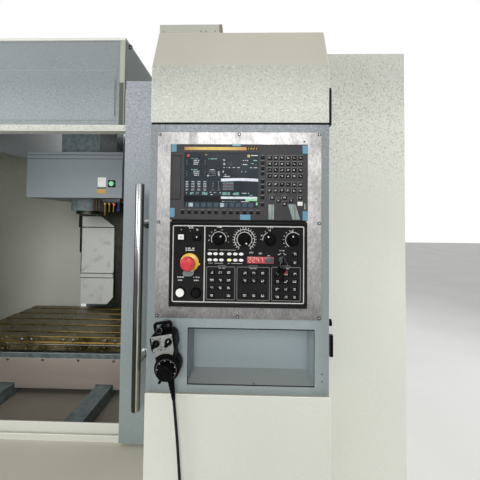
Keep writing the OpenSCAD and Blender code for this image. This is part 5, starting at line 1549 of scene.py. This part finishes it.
# %% Polished tube with its bands
@as_material
def banded_tube(tree):
    """Polished stainless whose mirrored bands follow the surface direction and the height"""
    turn = add(tree, "SeparateXYZ", {"Vector": add(tree, "NewGeometry", out="Normal")}, "X")
    height = on_object(tree)["Z"]
    left_edge = add(tree, "MapRange", {
        "Value": height, "From Min": 1.33, "From Max": 1.43, "To Min": 0.24, "To Max": -0.5})
    inside = add(tree, "Math", {0: turn, 1: left_edge}, operation="SUBTRACT")
    bright = add(tree, "MapRange", {"Value": inside, "From Min": -0.06, "From Max": 0.1})
    shadow = add(tree, "MapRange", {
        "Value": turn, "From Min": 0.72, "From Max": 0.86, "To Min": 1.0, "To Max": 0.38})
    depth = add(tree, "MapRange", {"Value": height, "From Min": 1.08, "From Max": 1.38})
    dark = add(tree, "Mix", {0: depth, 6: "#333E35", 7: "#85868A"}, **COLOUR)
    pale = add(tree, "Mix", {0: depth, 6: "#BDBAAB", 7: "#D2D2D1"}, **COLOUR)
    lines = spots(tree, 6, 0.34, 0.62, 0.62, 1.05, stretch=(1, 1, 0.01))
    shade = add(tree, "Mix", {0: bright, 6: dark, 7: pale}, **COLOUR)
    for tone in (shadow, lines):
        shade = add(tree, "Mix", {0: 1.0, 6: shade, 7: tone}, **TIMES)
    return add(tree, "BsdfPrincipled", {
        "Base Color": shade, "Metallic": 1.0, "Roughness": spots(tree, 30, 0.3, 0.7, 0.14, 0.22)})


@as_material
def post_finish(tree):
    """The same steel on a post: pale above, dark green below, as it mirrors hall and floor"""
    up = add(tree, "SeparateXYZ", {"Vector": add(tree, "NewGeometry", out="Normal")}, "Z")
    ring = spots(tree, 6, 0.3, 0.7, -0.12, 0.12)
    tilt = add(tree, "Math", {0: up, 1: ring})
    bright = add(tree, "MapRange", {"Value": tilt, "From Min": -0.1, "From Max": 0.6})
    shade = add(tree, "Mix", {0: bright, 6: "#3B423C", 7: "#D5D6D2"}, **COLOUR)
    return add(tree, "BsdfPrincipled", {
        "Base Color": shade, "Metallic": 1.0, "Roughness": spots(tree, 8, 0.3, 0.7, 0.26, 0.36)})


tube_steel = banded_tube("polished_stainless_tube")
post_steel = post_finish("polished_stainless_post")
for door in ("right_door", "left_door"):
    low, high = box_mm(door + "_handle")
    x, z0, z1 = (low.x + high.x) / 2, low.z, high.z
    y, face = low.y + 13.5, high.y
    tube = turned("tube", [
        (11, 0), (12.6, 0.6), (13.5, 2), (13.5, z1 - z0 - 2), (12.6, z1 - z0 - 0.6),
        (11, z1 - z0)], (x, y, z0), "up", 56)
    paint(tube, tube_steel)
    posts = []
    for z in (z1 - 127, z1 - 560):
        posts.append(turned("post", [
            (15, 0), (15, 2.5), (13.8, 4), (9.4, 5), (8.5, 8), (8.5, face - y - 10),
            (10.4, face - y - 4)], (x, face, z), "front", 32))
        paint(posts[-1], post_steel)
    hand_over(join(door + "_grip", [tube] + posts), "polished", None, [door + "_handle"], body=door, smooth=40)
print("handles: tubes 27 mm wide on two posts each")

# %% [markdown]
# ## Door windows
# The panes are polycarbonate, clamped from inside and sealed with a black rubber profile, a rounded frame
# around the opening. Button heads show where the clamps sit.

# %% Window seals and edge buffers
PANE_LAP = 14
for door, side in (("right_door", 1), ("left_door", -1)):
    low, high = box_mm(door + "_window")
    door_low, door_high = box_mm(door)
    x0, x1, z0, z1 = low.x + PANE_LAP, high.x - PANE_LAP, low.z + PANE_LAP, high.z - PANE_LAP
    ring = plate(
        door + "_window_seal", (x0 - 11, door_low.y - 4, z0 - 11), (x1 + 11, door_low.y + 3, z1 + 11), 16, 1.2)
    ring = cut(ring, plate("hole", (x0 + 3, door_low.y - 9, z0 + 3), (x1 - 3, door_low.y + 9, z1 - 3), 9, 0))
    hand_over(ring, "rubber", rubber_black, body=door)
    spots_xz = [(x, z) for x in (x0 - 24, x1 + 24) for z in (z0 + 40, (z0 + z1) / 2, z1 - 40)]
    button_heads(door + "_clamp_screws", [(x, door_low.y, z) for x, z in spots_xz], "front", door, 5)
    inner_x = door_low.x if side > 0 else door_high.x
    buffer = block(
        door + "_edge_buffer", (min(inner_x, inner_x - side * 5), door_low.y + 12, door_low.z + 30),
        (max(inner_x, inner_x - side * 5), door_low.y + 32, door_high.z - 30), 2.2, 3)
    hand_over(buffer, "rubber", rubber_black, body=door)
print("window seals and edge buffers")

# %% [markdown]
# ## Inside the enclosure
# Through the open door show the spindle head, a pale guard with the dark way cover beside it, the table, and
# the apron above the chip tray. The head's cover carries a blank white plate, a blank amber strip and a lit
# button in a square bezel. Below it hang ribbed hose ends and brass nozzles with a valve. All of these ride
# on the head.

# %% Head cover with its plates and button
softened("head_cover", 1.2, "head", head_coat)
softened("head_casting", 3.0, "head")
softened("spindle", 0.8, "spindle", way_cover_steel, ground_steel)
amber_print = plastic("anodised_strip_amber", "#C9A04A", "#B98F3A", 0.4)
head_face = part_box("head_cover")[0].y * 1000
blank_plate = plate("blank_plate", (-63, head_face - 1.6, 1628), (-17, head_face + 0.4, 1681), 3, 0.4)
hand_over(blank_plate, "white", cap_white, body="head")
blank_strip = plate("blank_strip", (-67, head_face - 1.2, 1592), (-16, head_face + 0.4, 1617), 2, 0.3)
hand_over(blank_strip, "brass", amber_print, body="head")
# Three black bars: painted shade along the cover's two creases and under the white plate
marks = [
    bar(-42, head_face, 1622, 50, 4, 1.0), bar(-195, head_face, 1805, 530, 2.2, 0.8),
    bar(-195, head_face, 1783, 530, 2.2, 0.8)]
bezel_low, bezel_high = (-5, head_face - 3, 1626), (35, head_face + 0.3, 1666)
square = plate("square", bezel_low, bezel_high, 4, 0.8)
square = cut(square, turned("bore", [(14.2, 0), (14.2, 12)], (15, head_face + 3, 1646), "front", 40))
hand_over(join("head_crease_shadows_and_bezel", marks + [square]), "rubber", rubber_black, body="head")
print("head plates and button bezel")

# %% Hose ends, nozzle and valve
hose_brown = plastic("hose_rubber_brown", "#4B3A28", "#33261A", 0.6, grain_mm=3)
valve_blue = plastic("anodised_fitting_blue", "#3C4A8C", "#2F3B74", 0.3)
low, high = box_mm("coolant_nozzles")
underside, nozzle_y = high.z, (low.y + high.y) / 2
ribs = [(5.2 if rib % 2 else 6.6, 4 * rib) for rib in range(18)] + [(4, 72)]
hoses = [turned("hose", ribs, (x, nozzle_y + 6 * (x % 2), underside + 1), "down", 20) for x in (-101, -84, -66)]
hand_over(join("hose_ends", hoses), "rubber", hose_brown, body="head")
manifold = block("manifold", (low.x, low.y, underside - 26), (high.x, high.y, underside), 2)
pieces = [paint(manifold, motor_paint)]
for x, reach in ((-36, 70), (-12, 52), (12, 52)):
    pipe = turned(
        "pipe", [(8, 0), (8, 8), (5.4, 9), (5.4, 16), (4.2, 18), (3.2, reach), (2.2, reach + 2)],
        (x, nozzle_y, underside - 24), "down", 20)
    pieces.append(paint(pipe, brass))
knob = turned(
    "knob", [(2, 0), (2.4, 6), (6, 9), (7, 13), (5, 17), (1, 18)], (28, low.y + 6, underside - 38), "front", 20)
pieces.append(paint(knob, button_red))
fitting = turned(
    "fitting", [(6.5, 0), (6.5, 12), (5, 14), (5, 34), (7.5, 36), (7.5, 46), (4, 48)],
    (40, nozzle_y, underside - 24), "down", 6)
pieces.append(paint(fitting, valve_blue))
hand_over(join("nozzle_cluster", pieces), "brass", None, ["coolant_nozzles"], "head")
print("nozzle cluster in place of the plain block")

# %% [markdown]
# The guard and the telescopic cover stretch with the head's travel, so their CAD solids stay, and the folds
# of the guard are drawn in its finish as dark lines, painted shade under each fold. The table and the apron
# get bolts, and the table, the apron and the tray get bright edges, partly wear and partly a painted
# highlight.

# %% Guard finish, table and apron
@as_material
def guard_finish(tree, folds):
    """Pale enamel with a dark line of painted shade at each fold height in metres, and splashes of coolant"""
    height = on_object(tree)["Z"]
    splash = spots(tree, 45, 0.56, 0.72, 0.0, 0.35, detail=4)
    shade = add(tree, "Mix", {0: splash, 6: "#DCE0DA", 7: "#9C9B85"}, **COLOUR)
    # Painted shade: a dark line under each fold
    for level, half in folds:
        line = add(tree, "Math", {0: height, 1: level, 2: half}, operation="COMPARE")
        shade = add(tree, "Mix", {0: line, 6: shade, 7: "#4A4F4A"}, **COLOUR)
    return add(tree, "BsdfPrincipled", {
        "Base Color": shade, "IOR": 1.5, "Roughness": spots(tree, 45, 0.3, 0.7, 0.36, 0.5)})


frame["nodes"]["z_guard"].material_slots[0].material = guard_finish(
    "guard_enamel", [(1.396, 0.004), (1.087, 0.003), (1.056, 0.003)])
apron_sheet = powder_coat("apron_sheet_stained", "#A89C95", "#8A7F78", "#B8ADA6", low="#A0958C", strength=0.6)
softened("table", 1.6, "table", fold_coat=brass)
softened("saddle", 2.0, "saddle")
softened("front_wall", 1.2)
softened("chip_tray", 1.2, coat=duct_coat)
table_low, table_high = box_mm("table")
rails = [
    block("rail", (table_low.x, table_low.y - 2, z - 2.5), (table_high.x, table_low.y + 0.5, z + 2.5), 0.8)
    for z in (809, 769)]
hand_over(join("table_rails", rails), "machined", ground_steel, body="table")
bolts = [(x + step, table_low.y, 832) for x in (-604, -387, -171, 46, 262) for step in (0, 50) if x + step < 300]
button_heads("table_bolts", bolts, "front", "table", 9)
saddle_low, saddle_high = box_mm("saddle")
skin = block("apron_skin", (saddle_low.x, saddle_low.y - 1.6, 599), (saddle_high.x, saddle_low.y + 0.4, 749), 0.7)
for x in (-445, 55):
    skin = cut(skin, block("notch", (x - 44, saddle_low.y - 5, 595), (x + 44, saddle_low.y + 5, 625), 0))
hand_over(skin, "castings", apron_sheet, body="saddle")
button_heads("apron_screws", [
    (x, saddle_low.y - 1.6, 742) for x in (-620, -440, -260, -80, 100, 240)], "front", "saddle", 7)
print("table, apron and tray")

# %% [markdown]
# ## Covers seen from the other sides
# The picture shows only the station, so the other sides follow common practice: access panels held by
# button heads, stamped louvres for air, seams between sheets, lifting eyes, and locks on the electrical
# door. Each is modelled facing the front and turned to its side. A louvre is a short block whose upper front
# edge is bevelled away, with a black block under it that stands for its slot: painted shade of the opening.

# %% Louvres and access panels
FACING = {"front": 0, "right": 90, "back": 180, "left": -90}
LOUVRE_PITCH = 18
SCREW_INSET = 14


def face_on(obj, place, facing):
    """Turns a piece that faces the front toward a side and puts it at a place in mm"""
    obj.data.transform(shift(*place) @ Matrix.Rotation(radians(FACING[facing]), 4, "Z"))
    return obj


def louvres(name, place, width, count, facing, coat, body="frame", slot="cream"):
    """A column of stamped louvres, the place being the middle of the column"""
    fin = block("fin", (-width / 2, -7, -5), (width / 2, 0.4, 5), 0)
    choose(fin, "EDGE", lambda e: all(v.co.y < mm(-6.9) and v.co.z > mm(4.9) for v in e.verts))
    bpy.ops.mesh.bevel(offset=mm(6), segments=4, affect="EDGES")
    pick(fin)
    ease(paint(fin, coat), 0.8)
    # A black block under each fin: painted shade of the louvre's opening
    slot_shade = paint(block("slot_shade", (-width / 2 + 3, -5.5, -6.4), (width / 2 - 3, 0.2, -4.6), 0), rubber_black)
    pair = join("pair", [fin, slot_shade])
    heights = [(0, 0, LOUVRE_PITCH * (row - (count - 1) / 2)) for row in range(count)]
    return hand_over(face_on(copies(pair, heights, name), place, facing), slot, body=body)


def access_panel(name, place, width, height, facing):
    """A panel 2 mm proud with a dark seam round it and button heads along its edges"""
    seam = paint(plate(
        "seam", (-width / 2 - 2, -0.5, -height / 2 - 2), (width / 2 + 2, 0.5, height / 2 + 2), 9, 0), rubber_black)
    sheet = paint(plate("sheet", (-width / 2, -2, -height / 2), (width / 2, 0.4, height / 2), 8, 0.8), wall_coat)
    parts = [seam, sheet]
    rows = max(2, round(height / 260) + 1)
    for x in (-width / 2 + SCREW_INSET, width / 2 - SCREW_INSET):
        for row in range(rows):
            z = -height / 2 + SCREW_INSET + row * (height - 2 * SCREW_INSET) / (rows - 1)
            head = turned("head", [
                (6, 0), (6, 1.2), (4.2, 3), (2.3, 3.2), (2.2, 1.4), (0.6, 1.2)], (x, -2, z), "front", 12)
            parts.append(paint(head, screw_metal))
    return hand_over(face_on(join(name, parts), place, facing), "cream")


for side, x, proud in (("left", -1300, -2), ("right", 1300, 2)):
    access_panel(side + "_upper_panel", (x, -290, 1350), 900, 860, side)
    access_panel(side + "_lower_panel", (x, -290, 500), 900, 640, side)
    louvres(side + "_louvres", (x + proud, -290, 420), 300, 12, side, wall_coat)
for letter, x in (("a", -1000), ("b", 640)):
    access_panel("rear_panel_" + letter, (x, 324, 1250), 480, 1050, "back")
    louvres("rear_louvres_" + letter, (x, 326, 1500), 260, 14, "back", wall_coat)
print("side and rear panels")

# %% [markdown]
# Seams divide the lower cover into sheets, each screwed on near its top and foot. The raised cover over the
# column has a flange with a seam and a lifting eye at each end, and beside each flange a dark olive strip of
# painted shadow. The junction box on the hood has a lid with small bolts, and a brown slab over its right
# end is the painted shade of that side.

# %% Front seams, flanges and lifting eyes
cover_low = box_mm("lower_front_cover")[0]
seams = [bar(x, cover_low.y, 370, 2.4, 616, 0.3) for x in (-730, -160, 474)]
hand_over(join("lower_cover_seams", seams), "rubber", rubber_black)
heads = [(x, cover_low.y, z) for x in (-1240, -790, -670, -220, -100, 410, 540, 940) for z in (110, 630)]
button_heads("lower_cover_screws", heads, "front", "frame", 6)
louvres("coolant_louvres", (-445, cover_low.y, 230), 240, 8, "front", cream_coat)
raised_low, raised_high = box_mm("upper_front_cover")
front_y = -892
flanges, shades, eyes = [], [], []
for side, edge_x in ((1, raised_high.x), (-1, raised_low.x)):
    inner_x = edge_x - side * 19
    flanges.append(block(
        "flange", (min(edge_x, inner_x), front_y - 3, 1784), (max(edge_x, inner_x), front_y, 2107), 1))
    gap_a, gap_b = inner_x, edge_x - side * 3
    # A dark olive strip beside the flange: painted shadow
    shades.append(block(
        "shade", (min(gap_a, gap_b), front_y - 3.4, 1786), (max(gap_a, gap_b), front_y - 2.9, 1949), 0))
    shades.append(bar(edge_x - side * 36, front_y - 2, 1893, 1.8, 136, 0.4))
    eye = plate("eye", (-8, -2.5, -8), (8, 2.5, 8), 7.5, 1, 1)
    eye = cut(eye, turned("bore", [(4, 0), (4, 20)], (0, 10, 0), "front", 24))
    eye.data.transform(shift(edge_x + side * 5, -862, 2101))
    eyes.append(eye)
hand_over(join("cover_flanges", flanges), "grey", duct_coat)
flange_shade = plastic("flange_shadow_olive", "#5D645C", "#51584F", 0.6)
hand_over(join("cover_seams_and_shadows", shades), "grey", flange_shade)
hand_over(join("lifting_eyes", eyes), "steel", way_cover_steel)
duct_low = box_mm("cable_duct")[0]
lid_bolts = [(x, duct_low.y, 2060) for x in (484, 606, 622, 652)]
button_heads("junction_box_bolts", lid_bolts, "front", "frame", 2.6)
# A brown slab over the box's right end: painted shade of that side
box_end_shade = block("junction_box_end_shade", (665, duct_low.y, 2054), (674, duct_low.y + 120, 2083), 1)
hand_over(box_end_shade, "duct", plastic("painted_end_cap_brown", "#837768", "#786C5E", 0.5))
print("seams, flanges and eyes")

# %% [markdown]
# At the back, the electrical door has quarter-turn locks and a fan filter, and the main switch sits on a
# yellow plate. The motor has a finned end and a plug, and small dots beside the shelf are plugged holes.

# %% Electrical door, motors and plugs
door_low, door_high = box_mm("electrical_door")
locks = [
    turned("lock", [(15, 0), (15, 3), (13, 5), (6, 5.4), (6, 9), (4.6, 10)], (-610, door_high.y, z), "back", 28)
    for z in (560, 1150, 1740)]
hand_over(join("door_locks", locks), "steel", zinc_steel, body="electrical_door")
filter_frame = plate("filter_frame", (-140, -6, -140), (140, 0.5, 140), 10, 2)
filter_frame = cut(filter_frame, plate("hole", (-118, -10, -118), (118, 3, 118), 6, 0))
hand_over(face_on(
    paint(filter_frame, bezel_abs), (-200, door_high.y, 760), "back"), "bezel", body="electrical_door")
louvres("filter_slats", (-200, door_high.y, 760), 234, 13, "back", bezel_abs, "electrical_door", "bezel")
louvres("door_louvres", (-200, door_high.y, 1650), 260, 10, "back", grey_coat, "electrical_door", "grey")
switch_high = box_mm("main_switch")[1]
yellow_plate = plate("switch_plate", (-42, -1.5, -42), (42, 0.4, 42), 5, 0.5)
hand_over(face_on(yellow_plate, (switch_high.x, 1030, 1500), "left"), "white", collar_yellow)
fins = [(65.4 if fin % 2 else 62.6, 4 * fin) for fin in range(13)]
motor_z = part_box("servo_motors")[1].z * 1000
fin_pack = turned("fin_pack", fins, (-195, 303, motor_z - 55), "up", 40)
plug = block("plug", (-266, 276, motor_z - 118), (-258, 330, motor_z - 84), 1.6)
hand_over(join("motor_fins", [fin_pack, plug]), "motor", motor_paint)
dots = [turned("dot", [(1.9, 0), (1.7, 0.5)], (980, -1076, z), "front", 14) for z in (989, 1010)]
hand_over(join("hole_plugs", dots), "rubber", rubber_black)
button_heads("shelf_screw", [(784, -1064, 972)], "up", "frame", 3.6)
print("electrical door, motors and plugs")

# %% [markdown]
# ## Floor, backdrop and light
# Daylight comes from behind the photographer, from above. One large soft lamp stands there, weak lamps fill
# the sides, and a plain white world does the rest. The lamps stay modest, so that colours come out as they
# are written. The machine's own work light hangs inside.

# %% Floor
@as_material
def paint_floor(tree):
    """A pale sealed floor with a faint cloud"""
    cloud = spots(tree, 900, 0.3, 0.7)
    shade = add(tree, "Mix", {0: cloud, 6: "#E4E4E2", 7: "#EBEBE9"}, **COLOUR)
    return add(tree, "BsdfPrincipled", {"Base Color": shade, "Roughness": 0.7})


pick()
bpy.ops.mesh.primitive_plane_add(size=40, location=(0, 0, cad_low.z - mm(1)))
floor = bpy.context.object
floor.name = "floor"
floor.data.materials.append(paint_floor("sealed_floor"))
print("floor at", round(floor.location.z, 4))

# %% World
world = bpy.data.worlds.new("plain_white")
bpy.context.scene.world = world
world.use_nodes = True
world.node_tree.nodes.clear()
sky = world.node_tree
path = add(sky, "LightPath").node.outputs
seen = add(sky, "Math", {0: path["Is Camera Ray"], 1: path["Is Transmission Ray"]}, operation="MAXIMUM")
seen = add(sky, "Math", {0: seen, 1: path["Is Glossy Ray"]}, operation="MAXIMUM")
AMBIENT = 0.5
strength = add(sky, "MapRange", {"Value": seen, "To Min": AMBIENT, "To Max": 1.0})
shell = add(sky, "Background", {"Color": (1, 1, 1, 1), "Strength": strength})
add(sky, "OutputWorld", {"Surface": shell})
print("ambient", AMBIENT)


# %% Lamps
def soft_lamp(name, place, target, size, watts):
    """A square area lamp at a place in metres, turned to face the target"""
    data = bpy.data.lights.new(name, "AREA")
    data.size = size
    data.energy = watts
    lamp = link(bpy.data.objects.new(name, data))
    lamp.location = place
    lamp.rotation_euler = (Vector(target) - Vector(place)).to_track_quat("-Z", "Y").to_euler()
    return lamp


aim = ((station_low.x + station_high.x) / 2, face_y, (station_low.z + station_high.z) / 2)
soft_lamp("window_light", (0.7, -5.2, 2.9), aim, 1.6, 75)
soft_lamp("left_fill", (-3.6, -3.4, 2.8), (-0.3, 0, 1.2), 2.4, 45)
soft_lamp("right_fill", (4.2, 0.2, 2.6), (0.8, 0, 1.2), 2.4, 40)
soft_lamp("work_light", (-0.15, -0.86, 1.66), (-0.2, 0, 1.1), 0.7, 2)
soft_lamp("back_fill", (0.2, 4.2, 2.8), (0, 0.5, 1.2), 2.4, 60)
